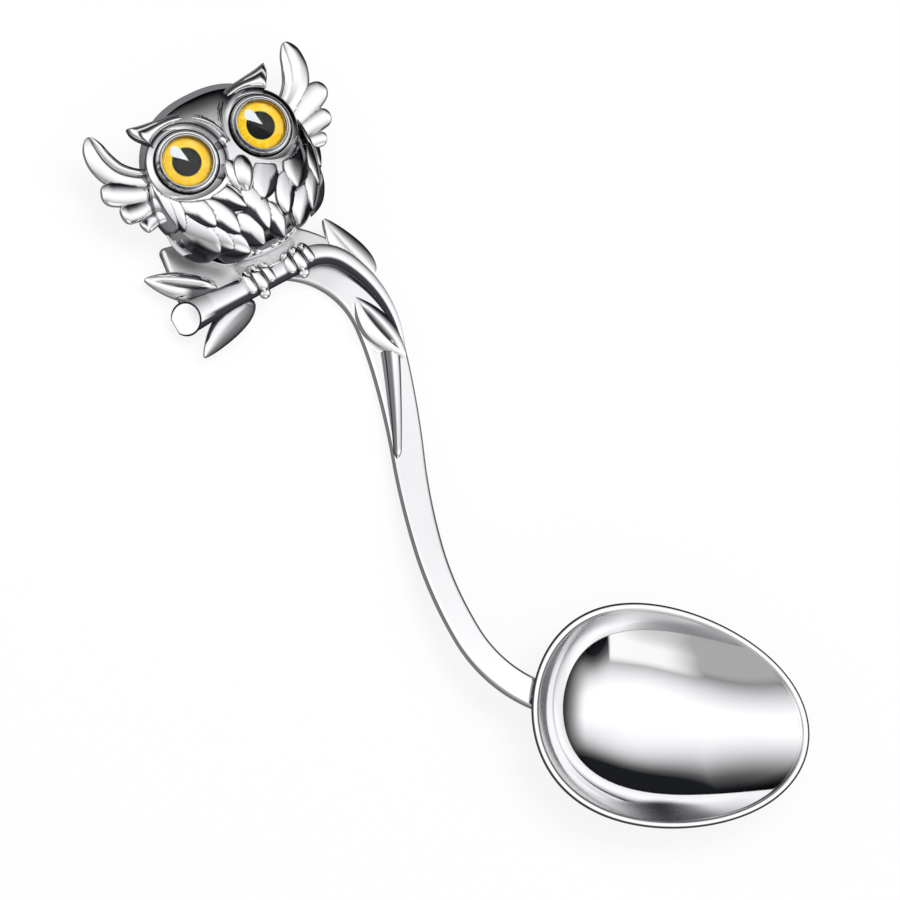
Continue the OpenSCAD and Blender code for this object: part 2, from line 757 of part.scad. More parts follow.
module right_pupil() {
  color("black") in_owl_frame() at_eye(1) pupil();
}
module left_eye_glass() {
  color("lightcyan", 0.4) in_owl_frame() at_eye(-1) eye_glass();
}
module right_eye_glass() {
  color("lightcyan", 0.4) in_owl_frame() at_eye(1) eye_glass();
}

// Foot: toes that bend over the branch from under the breast, each with a round end
toe_from_turn = 20;
toe_to_turn = 175;
toe_out_share = 0.3;
toe_taper_share = 0.8;
toe_blunt_share = 0.17;
toes = 3;
toe_sides = 12;
toe_stations = 12;
// Ring across a toe at a place along it, round the branch's axis at the radius r
function toe_ring(k, r) =
  let (
    a = blend(toe_from_turn, toe_to_turn, k),
    taper = toe_taper_share,
    round_off = k < taper ? 1 : sqrt(max(0, 1 - pow((k - taper)/(1 - taper), 2))),
    t = toe_d/2*max(toe_blunt_share, round_off)
  )
  [for (i = [0:toe_sides - 1])
    let (c = 360*i/toe_sides, d = r + t*sin(c)) [t*cos(c), d*cos(a), d*sin(a)]];
module foot(x) {
  s = x + branch_out;
  difference() {
    for (i = [0:toes - 1]) translate([x + (i - (toes - 1)/2)*toe_pitch, 0, branch_z(s)])
      skin([for (j = [0:toe_stations])
        toe_ring(j/toe_stations, branch_radius(s) + toe_d*toe_out_share)]);
    branch_solid();
    owl_solid();
    owl_tuft();
  }
}
module left_foot() {
  color("silver") in_owl_frame() foot(-left_foot_out);
}
module right_foot() {
  color("silver") in_owl_frame() foot(right_foot_out);
}

bowl();
handle_strip();
branch();
twig();
leaf_left();
leaf_lower();
leaf_bend();
leaf_handle();
owl_body();
owl_back();
left_wing();
right_wing();
left_brow();
right_brow();
beak();
left_eye_bezel();
right_eye_bezel();
left_iris();
right_iris();
left_pupil();
right_pupil();
left_eye_glass();
right_eye_glass();
left_foot();
right_foot();
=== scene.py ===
"""Dresses a packed silver spoon: an egg-shaped bowl on a flat strip bent in an S, whose wide end carries
an owl with glass eyes on a branch with leaves. Lengths are in millimetres until a mesh is made."""

import math

import bmesh
import bpy
from mathutils import Matrix, Vector, noise
from mathutils.bvhtree import BVHTree


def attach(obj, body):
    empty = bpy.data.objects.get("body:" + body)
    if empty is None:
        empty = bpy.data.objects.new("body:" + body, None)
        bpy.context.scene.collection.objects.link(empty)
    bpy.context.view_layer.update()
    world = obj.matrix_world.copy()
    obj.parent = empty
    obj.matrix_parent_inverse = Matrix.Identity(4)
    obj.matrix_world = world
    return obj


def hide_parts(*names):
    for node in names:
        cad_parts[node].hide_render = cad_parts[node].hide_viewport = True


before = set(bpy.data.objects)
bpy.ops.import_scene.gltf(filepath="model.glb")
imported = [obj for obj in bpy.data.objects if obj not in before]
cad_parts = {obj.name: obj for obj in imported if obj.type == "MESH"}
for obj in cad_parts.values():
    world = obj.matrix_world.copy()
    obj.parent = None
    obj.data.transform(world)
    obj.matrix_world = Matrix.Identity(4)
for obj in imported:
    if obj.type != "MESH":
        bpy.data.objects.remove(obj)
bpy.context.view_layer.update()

bl_info = {
    "name": "Owl Spoon",
    "version": (1, 0, 0),
    "blender": (4, 5, 0),
    "location": "View3D > Sidebar > Owl Spoon",
    "description": "Builds a small silver spoon with an owl on a branch around its packed model",
    "category": "Object",
}

MM = 0.001
BODY = "root"


# ---------------------------------------------------------------- properties

def length(label, about, value):
    return bpy.props.FloatProperty(name=label, description=about, default=value, min=0, unit="NONE")


def colour(label, about, value):
    return bpy.props.FloatVectorProperty(
        name=label, description=about, default=value, min=0, max=1, size=3, subtype="COLOR"
    )


class OWLSPOON_PG_sizes(bpy.types.PropertyGroup):
    """Sizes of the spoon, in millimetres"""

    bowl_l: length("Bowl length", "Length of the bowl over its rim", 41.6)
    bowl_w: length("Bowl width", "Width of the bowl over its rim", 31.2)
    bowl_h: length("Bowl height", "Height of the rim above the table", 9.0)
    bowl_floor: length("Bowl floor", "Thickness of the bowl's floor", 1.6)
    bowl_lip: length("Lip", "Width of the flat lip round the rim", 0.95)
    strip_t: length("Strip thickness", "Thickness of the handle strip", 1.8)
    strip_edge: length("Strip edge", "Radius of the strip's long edges", 0.7)
    owl_w: length("Owl width", "Width of the owl's body", 23.5)
    owl_h: length("Owl height", "Height of the owl from breast to crown", 25.0)
    owl_d: length("Owl depth", "Depth of the owl from back to breast", 10.9)
    feather_lift: length("Feather relief", "Height of a breast feather's tip above the body", 1.15)
    leaf_w: length("Leaf width", "Width of the leaves", 4.2)
    bezel_d: length("Eye setting", "Diameter of the round setting of an eye", 11.3)
    pupil_d: length("Pupil", "Diameter of the pupil", 4.0)


class OWLSPOON_PG_finish(bpy.types.PropertyGroup):
    """Colours of the spoon"""

    silver: colour("Silver", "Colour of the polished silver", (0.97, 0.97, 0.975))
    # colour of the painted shade in recesses and of the painted dark reflections on the silver
    recess: colour("Painted shade tone", "Colour of the darkened recesses", (0.05, 0.05, 0.06))
    iris: colour("Iris", "Main colour of the enamel iris", (0.98, 0.50, 0.0))
    iris_light: colour("Iris ring", "Colour of the iris round the pupil", (1.0, 0.72, 0.03))
    iris_rim: colour("Iris rim", "Colour of the iris at its dark rim", (0.30, 0.11, 0.01))
    pupil: colour("Pupil", "Colour of the pupil", (0.006, 0.006, 0.007))
    glass: colour("Glass", "Colour of the glass domes", (0.98, 0.99, 0.99))
    floor: colour("Floor", "Colour of the pale floor", (0.90, 0.90, 0.90))


# ---------------------------------------------------------------- the spoon's lines

# bowl: its turn on the table, its egg shape, how its walls rise, and the rounding of its lip
BOWL_TURN = 31
EGG_SHARE, EGG_FULL_SHARE = 0.136, 0.079
FOOT_SHARE, OUTER_RISE, INNER_RISE, DEEP_SHARE = 0.2, 2.8, 3.1, 0.12
LIP_ROUND = 0.22

# strip: widths, height of its root, place and heading of its start, and the length and turn of each bend
ROOT_W, WAIST_W, END_W, ROOT_Z = 4.2, 4.0, 10.0, 6.4
WAIST_AT, WIDENING = 0.21, 1.6
STRIP_START = (-16.8, -9.8, 199.5)
STRIP_RUNS = ((13.2, -41), (13.8, -16.5), (13.4, -7.5), (11.8, 7.5), (8.2, 8), (23.3, 91), (11.4, 0))
STRIP_L = sum(run for run, turn in STRIP_RUNS)
FLAT_FROM = sum(run for run, turn in STRIP_RUNS[:5]) - 6.0

# owl: place and turn, heights of its back and belly, and how square its outline and its dome are
OWL_PLACE, OWL_TURN = (-82.55, 13.75), 69
OWL_BACK, OWL_RISE, OWL_BELLY, OWL_MIDDLE, OWL_FULL_D = 1.8, 3.1, 3.6, 0.49, 10.9
OWL_ROUND, OWL_ROUND_BELOW, OWL_DOME = 2.4, 2.05, 2.55
DOME_FOOT = 1.67

# branch: its start left of the owl, its straight length, its slanting cut, its bends and its widths
BRANCH_START, BRANCH_L, BRANCH_SLANT = -16.7, 21.5, 0.62
BRANCH_BENDS = ((6.0, 58), (17.0, 52))
BRANCH_D, BRANCH_FOOT_D, BRANCH_TIP_D, BRANCH_SEAT, BRANCH_TAPER = 4.6, 3.1, 0.6, 0.3, 1.3
BRANCH_TOTAL = BRANCH_L + sum(math.radians(turn) * radius for radius, turn in BRANCH_BENDS)
CUT_REACH = BRANCH_D * 1.15

# eyes: how far apart and how high they sit, how they lean, and the height of their settings
EYE_GAP, EYE_RISE, EYE_LEAN = 11.8, 18.7, 4
BEZEL_Z = OWL_BACK + OWL_FULL_D * 0.56
GLASS_R, EYE_BORE_TOP, EYE_BORE_DEEP = 3.45, 3.4, 1.6
# height that relief keeps under a setting, how far in from its edge, and over what span it rises again
UNDER_EYE, UNDER_EYE_IN, UNDER_EYE_SPAN = 1.3, 0.2, 0.8

# photo: turn of its right about Z, lean of the eye from straight above and its heading, then the place
# that it looks at, the eye's distance, pixels to a millimetre there, and pixels across the picture
VIEW_TURN, VIEW_LEAN, VIEW_HEADING = 40, 20, 35
VIEW_AIM, VIEW_DISTANCE, VIEW_PX, VIEW_SIDE = (-47.39, 11.71, 0), 482.0, 7.0, 900
SENSOR = 36


def blend(a, b, k):
    return a + (b - a) * k


def clamp(k, low=0.0, high=1.0):
    return max(low, min(high, k))


def ease(k):
    k = clamp(k)
    return k * k * (3 - 2 * k)


def cosd(a):
    return math.cos(math.radians(a))


def sind(a):
    return math.sin(math.radians(a))


def mound(v, middle, width):
    """A smooth mound: 1 in the middle, and near 0 at twice the width away."""
    return math.exp(-((v - middle) / width) ** 2)


def round_tip(k, start, span, least):
    """Share of a rod's radius that is left at its rounded tip."""
    return 1 if k < start else math.sqrt(max(least, 1 - ((k - start) / span) ** 2))


def after_bend(p, run, turn):
    """Place and heading after a stretch of the given length that turns by that many degrees to the left."""
    x, y, a = p
    if abs(turn) < 1e-9:
        return (x + run * cosd(a), y + run * sind(a), a)
    r = run * 180 / (math.pi * turn)
    return (x + r * (sind(a + turn) - sind(a)), y - r * (cosd(a + turn) - cosd(a)), a + turn)


def egg(f, l, w):
    c, s = cosd(f), sind(f)
    return l / 2 * c, w / 2 * s * (1 - EGG_SHARE * c + EGG_FULL_SHARE * c * c)


def spine(s):
    """Place and heading of the strip's middle line, a distance along it from the bowl."""
    p = STRIP_START
    if s < 0:
        return after_bend(p, s, 0)
    for run, turn in STRIP_RUNS:
        if s <= run:
            return after_bend(p, s, turn * s / run)
        p, s = after_bend(p, run, turn), s - run
    return after_bend(p, s, 0)


def strip_w(s):
    k = max(0.0, s / STRIP_L)
    if k < WAIST_AT:
        return blend(ROOT_W, WAIST_W, 1 - (1 - k / WAIST_AT) ** 2)
    return blend(WAIST_W, END_W, ((k - WAIST_AT) / (1 - WAIST_AT)) ** WIDENING)


def strip_z(s):
    k = clamp(s / FLAT_FROM)
    return ROOT_Z * (1 + 2 * k) * (1 - k) ** 2


def on_strip(s, side, up):
    x, y, a = spine(s)
    return (x - side * sind(a), y + side * cosd(a), strip_z(s) + up)


def owl_point(x, y, z):
    """A point of the owl's own frame, x across to its right wing and y up to its crown, in the spoon's."""
    c, s = cosd(OWL_TURN), sind(OWL_TURN)
    return (OWL_PLACE[0] + x * c - y * s, OWL_PLACE[1] + x * s + y * c, z)


def eye_point(side, x, y, z):
    c, s = cosd(side * EYE_LEAN), sind(side * EYE_LEAN)
    return owl_point(side * EYE_GAP / 2 + x * c + z * s, EYE_RISE + y, BEZEL_Z - x * s + z * c)


def eye_ring(side, r, height, count=128):
    return [eye_point(side, r * cosd(i * 360 / count), r * sind(i * 360 / count), height) for i in range(count)]


def eye_axes(side):
    """Middle of an eye's setting, and the ways across it, up it and out of it."""
    middle = Vector(eye_point(side, 0, 0, 0))
    return middle, *(Vector(eye_point(side, *way)) - middle for way in ((1, 0, 0), (0, 1, 0), (0, 0, 1)))


def owl_middle(sizes):
    return OWL_RISE + sizes.owl_h * OWL_MIDDLE


def owl_top(sizes, x, y):
    """Height of the owl's smooth body."""
    mid = owl_middle(sizes)
    n = OWL_ROUND if y > mid else OWL_ROUND_BELOW
    out = ((abs(x) / (sizes.owl_w / 2)) ** n + (abs(y - mid) / (sizes.owl_h / 2)) ** n) ** (1 / n)
    n = OWL_DOME
    return OWL_BACK + OWL_BELLY + (sizes.owl_d - OWL_BELLY) * (1 - min(1.0, out) ** n) ** (1 / n)


def feather_base(sizes, x, y, inner):
    """Height of the smooth body under a feather, which runs out over the body's steep edge."""
    mid = owl_middle(sizes)
    return owl_top(sizes, x * inner, mid + (y - mid) * inner)


def off_eyes(sizes, x, y, z):
    """Runs relief down under the round eye settings."""
    near = math.hypot(abs(x) - EYE_GAP / 2, y - EYE_RISE)
    clear = ease((near - sizes.bezel_d / 2 + UNDER_EYE_IN) / UNDER_EYE_SPAN)
    return min(z, blend(BEZEL_Z + UNDER_EYE, z, clear))


def branch_line(s):
    p = (BRANCH_START, 0, 0)
    if s < BRANCH_L:
        return after_bend(p, s, 0)
    p, s = after_bend(p, BRANCH_L, 0), s - BRANCH_L
    for radius, turn in BRANCH_BENDS:
        run = math.radians(turn) * radius
        if s <= run:
            return after_bend(p, s, -turn * s / run)
        p, s = after_bend(p, run, -turn), s - run
    return after_bend(p, s, 0)


def branch_radius(s):
    if s < BRANCH_L:
        return blend(BRANCH_FOOT_D, BRANCH_D, (1 - max(0.0, s) / BRANCH_L) ** 2) / 2
    k = clamp((s - BRANCH_L) / (BRANCH_TOTAL - BRANCH_L))
    return blend(BRANCH_FOOT_D, BRANCH_TIP_D, k ** BRANCH_TAPER) / 2


def branch_z(s):
    return OWL_BACK - BRANCH_SEAT + branch_radius(s)


# ---------------------------------------------------------------- meshes

# points that count as one, in metres
SAME_PLACE = 1e-7
# slopes in degrees from which the shading is left as it is, how much later for level ones, and over what span
STEEP_FROM, STEEP_LATER, STEEP_SPAN = 40, 30, 35
# upright share of a normal from which it belongs to the strip's flat top, and over what span
TOP_FROM, TOP_SPAN = 0.93, 0.04


def new_object(name, points, faces, material):
    mesh = bpy.data.meshes.new(name)
    mesh.from_pydata([Vector(p) * MM for p in points], [], faces)
    mesh.validate()
    mesh.materials.append(material)
    piece = bpy.data.objects.new(name, mesh)
    bpy.context.scene.collection.objects.link(piece)
    return piece


def skin(rings):
    """Points and faces through rings of equal counts, with a fan at both ends."""
    n, m = len(rings[0]), len(rings)
    points = [tuple(p) for ring in rings for p in ring]
    faces = [
        (j * n + i, j * n + (i + 1) % n, (j + 1) * n + (i + 1) % n, (j + 1) * n + i)
        for j in range(m - 1) for i in range(n)
    ]
    for ring, base, flip in ((rings[0], 0, True), (rings[-1], (m - 1) * n, False)):
        middle = len(points)
        points.append(tuple(sum(p[k] for p in ring) / n for k in range(3)))
        for i in range(n):
            a, b = base + i, base + (i + 1) % n
            faces.append((middle, b, a) if flip else (middle, a, b))
    return points, faces


def join(parts):
    """One list of points and faces from several."""
    points, faces = [], []
    for part_points, part_faces in parts:
        faces += [tuple(i + len(points) for i in face) for face in part_faces]
        points += part_points
    return points, faces


def outward(mesh):
    """Joins points that lie on one another, and turns all faces outward."""
    work = bmesh.new()
    work.from_mesh(mesh)
    bmesh.ops.remove_doubles(work, verts=work.verts, dist=SAME_PLACE)
    bmesh.ops.recalc_face_normals(work, faces=work.faces)
    work.to_mesh(mesh)
    work.free()


def settle(piece):
    """Turns the piece's modifiers into its plain mesh."""
    graph = bpy.context.evaluated_depsgraph_get()
    mesh = bpy.data.meshes.new_from_object(
        piece.evaluated_get(graph), preserve_all_data_layers=True, depsgraph=graph
    )
    old = piece.data
    piece.modifiers.clear()
    piece.data = mesh
    bpy.data.meshes.remove(old)
    return piece


def cut_away(piece, cutter):
    """Takes the cutter's volume off the piece and removes the cutter."""
    cut = piece.modifiers.new("Cut", "BOOLEAN")
    cut.operation = "DIFFERENCE"
    cut.object = cutter
    cut.solver = "EXACT"
    settle(piece)
    bpy.data.objects.remove(cutter)


def unite(piece, *others):
    """Joins the others into the piece."""
    bpy.ops.object.select_all(action="DESELECT")
    for part in (piece, *others):
        part.select_set(True)
    bpy.context.view_layer.objects.active = piece
    bpy.ops.object.join()
    piece.select_set(False)


def finish_piece(piece, node, sharp=38, weighted=True):
    """Outward faces, smooth shading with true edges, the piece's body, and its node's part hidden."""
    outward(piece.data)
    piece.data.shade_smooth()
    piece.data.set_sharp_from_angle(angle=math.radians(sharp))
    if weighted:
        even = piece.modifiers.new("Even shading", "WEIGHTED_NORMAL")
        even.keep_sharp = True
        even.weight = 80
        settle(piece)
    if "level" in piece.data.attributes:
        ease_slopes(piece)
    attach(piece, BODY)
    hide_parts(node)
    return piece


def mark(piece, name, value):
    """Writes a share on every point: one for all, a list, or from a function of the place in millimetres."""
    mesh = piece.data
    if callable(value):
        value = [value(*(v.co / MM)) for v in mesh.vertices]
    elif not isinstance(value, list):
        value = [value] * len(mesh.vertices)
    if name in mesh.attributes:
        mesh.attributes.remove(mesh.attributes[name])
    mesh.attributes.new(name, "FLOAT", "POINT").data.foreach_set("value", [clamp(v) for v in value])


def mark_painted_shade(piece, painted_share=0.0, level=0.0):
    """Marks the painted shade and painted dark reflections on the silver, and how much flatter its gentle slopes
    are shaded.
    """
    mark(piece, "recess", painted_share)
    mark(piece, "level", level)


def silver_piece(context, name, node, shape, painted_share=0.0, level=0.0, sharp=38):
    """A cast silver piece from its points and faces, with its marks, its shading and its node."""
    piece = new_object(name, *shape, material_set(context)["Cast silver"])
    mark_painted_shade(piece, painted_share, level)
    return finish_piece(piece, node, sharp)


def ease_slopes(piece):
    """Shades gentle slopes flatter, by the share on their points, and leaves steep sides as they are."""
    mesh = piece.data
    share = [0.0] * len(mesh.vertices)
    mesh.attributes["level"].data.foreach_get("value", share)
    normals = []
    for loop, corner in zip(mesh.loops, mesh.corner_normals):
        n = corner.vector.copy()
        flat = math.hypot(n.x, n.y)
        if n.z > 0 and flat > 1e-4:
            tilt = math.atan2(flat, n.z)
            even = share[loop.vertex_index]
            steep = ease((math.degrees(tilt) - STEEP_FROM - STEEP_LATER * even) / STEEP_SPAN)
            tilt *= 1 - even * (1 - steep)
            n = Vector((n.x / flat * math.sin(tilt), n.y / flat * math.sin(tilt), math.cos(tilt)))
        normals.append(n)
    mesh.normals_split_custom_set(normals)
    mesh.attributes.remove(mesh.attributes["level"])


def level_top(piece, share):
    """Takes that share of the rise along the strip out of its top's shading, and leaves its round edges."""
    mesh = piece.data
    normals = []
    for corner in mesh.corner_normals:
        n = corner.vector.copy()
        keep = 1 - share * ease((n.z - TOP_FROM) / TOP_SPAN)
        normals.append(Vector((n.x * keep, n.y * keep, n.z)).normalized())
    mesh.normals_split_custom_set(normals)


def bevelled(section, radius, steps=5):
    """A closed outline with its corners rounded."""
    rounded = []
    count = len(section)
    for i, corner in enumerate(section):
        here = Vector(corner)
        before = (Vector(section[i - 1]) - here).normalized()
        after = (Vector(section[(i + 1) % count]) - here).normalized()
        for k in range(steps + 1):
            t = k / steps
            a, b = here + before * radius, here + after * radius
            rounded.append(tuple(a * (1 - t) ** 2 + here * 2 * t * (1 - t) + b * t * t))
    return rounded


def curve_at(points, i, t):
    """Place a share t along the i-th span of a smooth curve through the points."""
    last = len(points) - 1
    p = [Vector(points[max(0, min(last, j))]) for j in (i - 1, i, i + 1, i + 2)]
    return 0.5 * (2 * p[1] + (p[2] - p[0]) * t + (2 * p[0] - 5 * p[1] + 4 * p[2] - p[3]) * t * t
                  + (3 * p[1] - p[0] - 3 * p[2] + p[3]) * t ** 3)


def smooth_line(points, count):
    """Places at even steps on a smooth curve through the points."""
    made = []
    for step in range(count + 1):
        at = step / count * (len(points) - 1)
        i = min(int(at), len(points) - 2)
        made.append(curve_at(points, i, at - i))
    return made


def dark_side(line, radii, start):
    """Gives how far a place lies on the right of a line, as a round rod's dark side painted in for its shade and
    dark reflection.
    """
    line = [Vector(p).to_2d() for p in line]
    last = len(line) - 1

    def shade(x, y):
        here = Vector((x, y))
        i = min(range(len(line)), key=lambda j: (line[j] - here).length_squared)
        ahead, off = line[min(i + 1, last)] - line[max(i - 1, 0)], here - line[i]
        return ease(((ahead.y * off.x - ahead.x * off.y) / ahead.length / radii[i] - start) / 0.25)

    return shade


# ---------------------------------------------------------------- node trees

def set_inputs(tree, node, values):
    """Sets the node's inputs to plain values, or links them to other nodes."""
    for key, value in dict(values).items():
        socket = node.inputs[key]
        if isinstance(value, bpy.types.NodeSocket):
            tree.links.new(value, socket)
        else:
            socket.default_value = value


def add(tree, kind, values=(), **settings):
    """A node of that kind, with its settings, and its inputs set or linked."""
    made = tree.nodes.new(kind)
    for key, value in settings.items():
        setattr(made, key, value)
    set_inputs(tree, made, values)
    return made


def calc(tree, operation, *values):
    """What a math node makes of the values."""
    return add(tree, "ShaderNodeMath", dict(enumerate(values)), operation=operation).outputs[0]


def new_group(name, kind, inputs, outputs):
    group = bpy.data.node_groups.new(name, kind)
    for label, socket, value in inputs:
        made = group.interface.new_socket(name=label, in_out="INPUT", socket_type=socket)
        if value is not None:
            made.default_value = value
    for label, socket in outputs:
        group.interface.new_socket(name=label, in_out="OUTPUT", socket_type=socket)
    return group, group.nodes.new("NodeGroupInput"), group.nodes.new("NodeGroupOutput")


def input_id(group, label):
    for item in group.interface.items_tree:
        if item.item_type == "SOCKET" and item.in_out == "INPUT" and item.name == label:
            return item.identifier
    raise ValueError(f"{group.name} has no input named {label}")


def run_tree(piece, group, values):
    """Puts a geometry node tree on the piece, sets its inputs, and keeps what it makes as a plain mesh."""
    change = piece.modifiers.new(group.name, "NODES")
    change.node_group = group
    for label, value in values.items():
        change[input_id(group, label)] = value
    piece.update_tag()
    bpy.context.view_layer.update()
    return settle(piece)


def named(group, name, kind="FLOAT"):
    """Reads the points' attribute of that name."""
    return add(group, "GeometryNodeInputNamedAttribute", {"Name": name}, data_type=kind).outputs["Attribute"]


def hand_out(group, geometry, start, end):
    """Gives the geometry its material and ends the tree with it."""
    real = add(group, "GeometryNodeRealizeInstances", {"Geometry": geometry})
    paint = add(group, "GeometryNodeSetMaterial",
                {"Geometry": real.outputs[0], "Material": start.outputs["Material"]})
    group.links.new(paint.outputs[0], end.inputs["Geometry"])
    return group


def rod_tree():
    """Sweeps a round section along a line of points that carry their own radius."""
    name = "Round rod along a line"
    if name in bpy.data.node_groups:
        return bpy.data.node_groups[name]
    group, start, end = new_group(
        name, "GeometryNodeTree",
        [("Geometry", "NodeSocketGeometry", None), ("Sides", "NodeSocketInt", 32),
         ("Material", "NodeSocketMaterial", None)],
        [("Geometry", "NodeSocketGeometry")],
    )
    line = add(group, "GeometryNodeMeshToCurve", {"Mesh": start.outputs["Geometry"]})
    upright = add(group, "GeometryNodeSetCurveNormal", {"Curve": line.outputs[0]}, mode="Z_UP")
    section = add(group, "GeometryNodeCurvePrimitiveCircle",
                  {"Resolution": start.outputs["Sides"], "Radius": 1.0})
    swept = add(group, "GeometryNodeCurveToMesh",
                {"Curve": upright.outputs[0], "Profile Curve": section.outputs["Curve"],
                 "Scale": named(group, "radius"), "Fill Caps": True})
    return hand_out(group, swept.outputs[0], start, end)


def row_tree():
    """Repeats a blade on points that carry its turn and its length, width and height."""
    group, start, end = new_group(
        "Blades on points", "GeometryNodeTree",
        [("Geometry", "NodeSocketGeometry", None), ("Blade", "NodeSocketObject", None),
         ("Material", "NodeSocketMaterial", None)],
        [("Geometry", "NodeSocketGeometry")],
    )
    points = add(group, "GeometryNodeMeshToPoints", {"Mesh": start.outputs["Geometry"]})
    blade = add(group, "GeometryNodeObjectInfo", {"Object": start.outputs["Blade"]})
    spin = add(group, "ShaderNodeCombineXYZ", {"Z": named(group, "turn")})
    placed = add(group, "GeometryNodeInstanceOnPoints",
                 {"Points": points.outputs[0], "Instance": blade.outputs["Geometry"],
                  "Rotation": spin.outputs[0], "Scale": named(group, "size", "FLOAT_VECTOR")})
    return hand_out(group, placed.outputs[0], start, end)


def rod_object(name, points, radii, sides, material):
    """A round rod along a line of points in millimetres, with a radius at each."""
    piece = new_object(name, points, [], material)
    mesh = piece.data
    mesh.edges.add(len(points) - 1)
    mesh.edges.foreach_set("vertices", [v for i in range(len(points) - 1) for v in (i, i + 1)])
    mesh.update()
    radius = mesh.attributes.new("radius", "FLOAT", "POINT")
    radius.data.foreach_set("value", [r * MM for r in radii])
    return run_tree(piece, rod_tree(), {"Sides": sides, "Material": material})


def points_object(name, places, turns, sizes_mm, material):
    """Points in millimetres with a turn and a size at each, ready for the blades' tree."""
    piece = new_object(name, places, [], material)
    turn = piece.data.attributes.new("turn", "FLOAT", "POINT")
    turn.data.foreach_set("value", [math.radians(t) for t in turns])
    size = piece.data.attributes.new("size", "FLOAT_VECTOR", "POINT")
    size.data.foreach_set("vector", [v * MM for s in sizes_mm for v in s])
    return piece


def move_points(piece, place):
    """Moves every point of a mesh, in millimetres, to what place gives for it."""
    for vertex in piece.data.vertices:
        vertex.co = Vector(place(*(vertex.co / MM))) * MM
    piece.data.update()


# ---------------------------------------------------------------- materials

# the plate round the owl is duller: middle in the owl's frame, how far out, and how far it fades, as a share
SATIN_MIDDLE, SATIN_REACH, SATIN_FADE = (0, 12, 0), 17.0, 1.35
# lower than real glass, so that the domes don't turn milky over the pupils in this studio
GLASS_IOR = 1.18
# where the iris turns to its bright ring and to its dark rim, as shares of its radius, and its pale blots
IRIS_RING, IRIS_RIM, IRIS_PALE = (0.72, 0.60), (0.86, 1.0), (1.0, 0.78, 0.25)
# how much of the floor is the backdrop's own light, for the camera and for metal and glass
BACKDROP_SEEN, BACKDROP_MIRRORED = 0.86, 0.9
BACKDROP_IN_SILVER = (0.11, 0.11, 0.12)
WHITE = (1, 1, 1)


def noise_at(tree, coords, scale, detail=2.0, roughness=0.5):
    return add(tree, "ShaderNodeTexNoise",
               {"Vector": coords, "Scale": scale, "Detail": detail, "Roughness": roughness}).outputs["Fac"]


def spread(tree, value, low, high, to_low=0.0, to_high=1.0):
    return add(tree, "ShaderNodeMapRange",
               {"Value": value, "From Min": low, "From Max": high, "To Min": to_low, "To Max": to_high},
               interpolation_type="SMOOTHSTEP").outputs["Result"]


def mixed(tree, factor, a, b, kind="MIX"):
    made = add(tree, "ShaderNodeMix", data_type="RGBA", blend_type=kind)
    for socket, value in ((made.inputs["Factor"], factor), (made.inputs[6], a), (made.inputs[7], b)):
        if isinstance(value, bpy.types.NodeSocket):
            tree.links.new(value, socket)
        elif socket.type == "RGBA":
            socket.default_value = (*value, 1)
        else:
            socket.default_value = value
    return made.outputs[2]


def silver_skin_group():
    """Colour, roughness and height of silver: polish marks, faint wear, and painted shade and painted dark
    reflections.
    """
    name = "Silver skin"
    if name in bpy.data.node_groups:
        return bpy.data.node_groups[name]
    inputs = [("Vector", "NodeSocketVector", None), ("Silver", "NodeSocketColor", None),
              ("Recess colour", "NodeSocketColor", None), ("Recess", "NodeSocketFloat", 0.0),
              ("Polish", "NodeSocketFloat", 0.05), ("Grain", "NodeSocketFloat", 0.0)]
    group, start, end = new_group(
        name, "ShaderNodeTree", inputs,
        [("Color", "NodeSocketColor"), ("Roughness", "NodeSocketFloat"), ("Height", "NodeSocketFloat")],
    )
    coords, silver, painted_shade_colour, recess, polish, grain = (start.outputs[label] for label, *_ in inputs)
    cloud = noise_at(group, coords, 90, 3)
    marks = noise_at(group, coords, 1600, 3, 0.6)
    pits = noise_at(group, coords, 2600, 2, 0.7)
    toned = mixed(group, 1.0, silver, spread(group, cloud, 0.3, 0.75, 1.0, 0.965), "MULTIPLY")
    worn = calc(group, "ADD", polish, spread(group, marks, 0.45, 0.8, 0, 0.03))
    dull = calc(group, "MULTIPLY_ADD", recess, 0.25, worn)
    wave = calc(group, "MULTIPLY", cloud, 0.35)
    # the silver is mixed towards the colour of its painted shade and painted dark reflections
    set_inputs(group, end, {
        "Color": mixed(group, recess, toned, painted_shade_colour),
        "Roughness": calc(group, "MULTIPLY_ADD", grain, 0.34, dull),
        "Height": calc(group, "MULTIPLY_ADD", pits, grain, wave),
    })
    return group


def fresh_material(name):
    material = bpy.data.materials.new(name)
    material.use_nodes = True
    tree = material.node_tree
    return material, tree, tree.nodes["Principled BSDF"]


def silver_material(name, finish, polish, bump, grain=0.0, satin=False):
    """Silver on Object coordinates, darkened by the painted shade and dark reflections that its points carry, and
    duller round the owl if satin.
    """
    material, tree, shader = fresh_material(name)
    place = add(tree, "ShaderNodeTexCoord").outputs["Object"]
    if satin:
        middle = tuple(c * MM for c in owl_point(*SATIN_MIDDLE))
        away = add(tree, "ShaderNodeVectorMath", {0: place, 1: middle}, operation="DISTANCE").outputs["Value"]
        grain = spread(tree, away, SATIN_REACH * MM, SATIN_REACH * SATIN_FADE * MM, 1.0, 0.0)
    # the points' painted shade and painted dark reflections, from 0 to 1
    deep = add(tree, "ShaderNodeAttribute", attribute_name="recess").outputs["Fac"]
    skin_node = add(tree, "ShaderNodeGroup", node_tree=silver_skin_group())
    set_inputs(tree, skin_node, {
        "Vector": place, "Silver": (*finish.silver, 1), "Recess colour": (*finish.recess, 1),
        "Recess": deep, "Polish": polish, "Grain": grain,
    })
    relief = add(tree, "ShaderNodeBump",
                 {"Height": skin_node.outputs["Height"], "Strength": bump, "Distance": 0.0004})
    set_inputs(tree, shader, {
        "Base Color": skin_node.outputs["Color"], "Roughness": skin_node.outputs["Roughness"],
        "Normal": relief.outputs["Normal"], "Metallic": 1.0,
    })
    return material


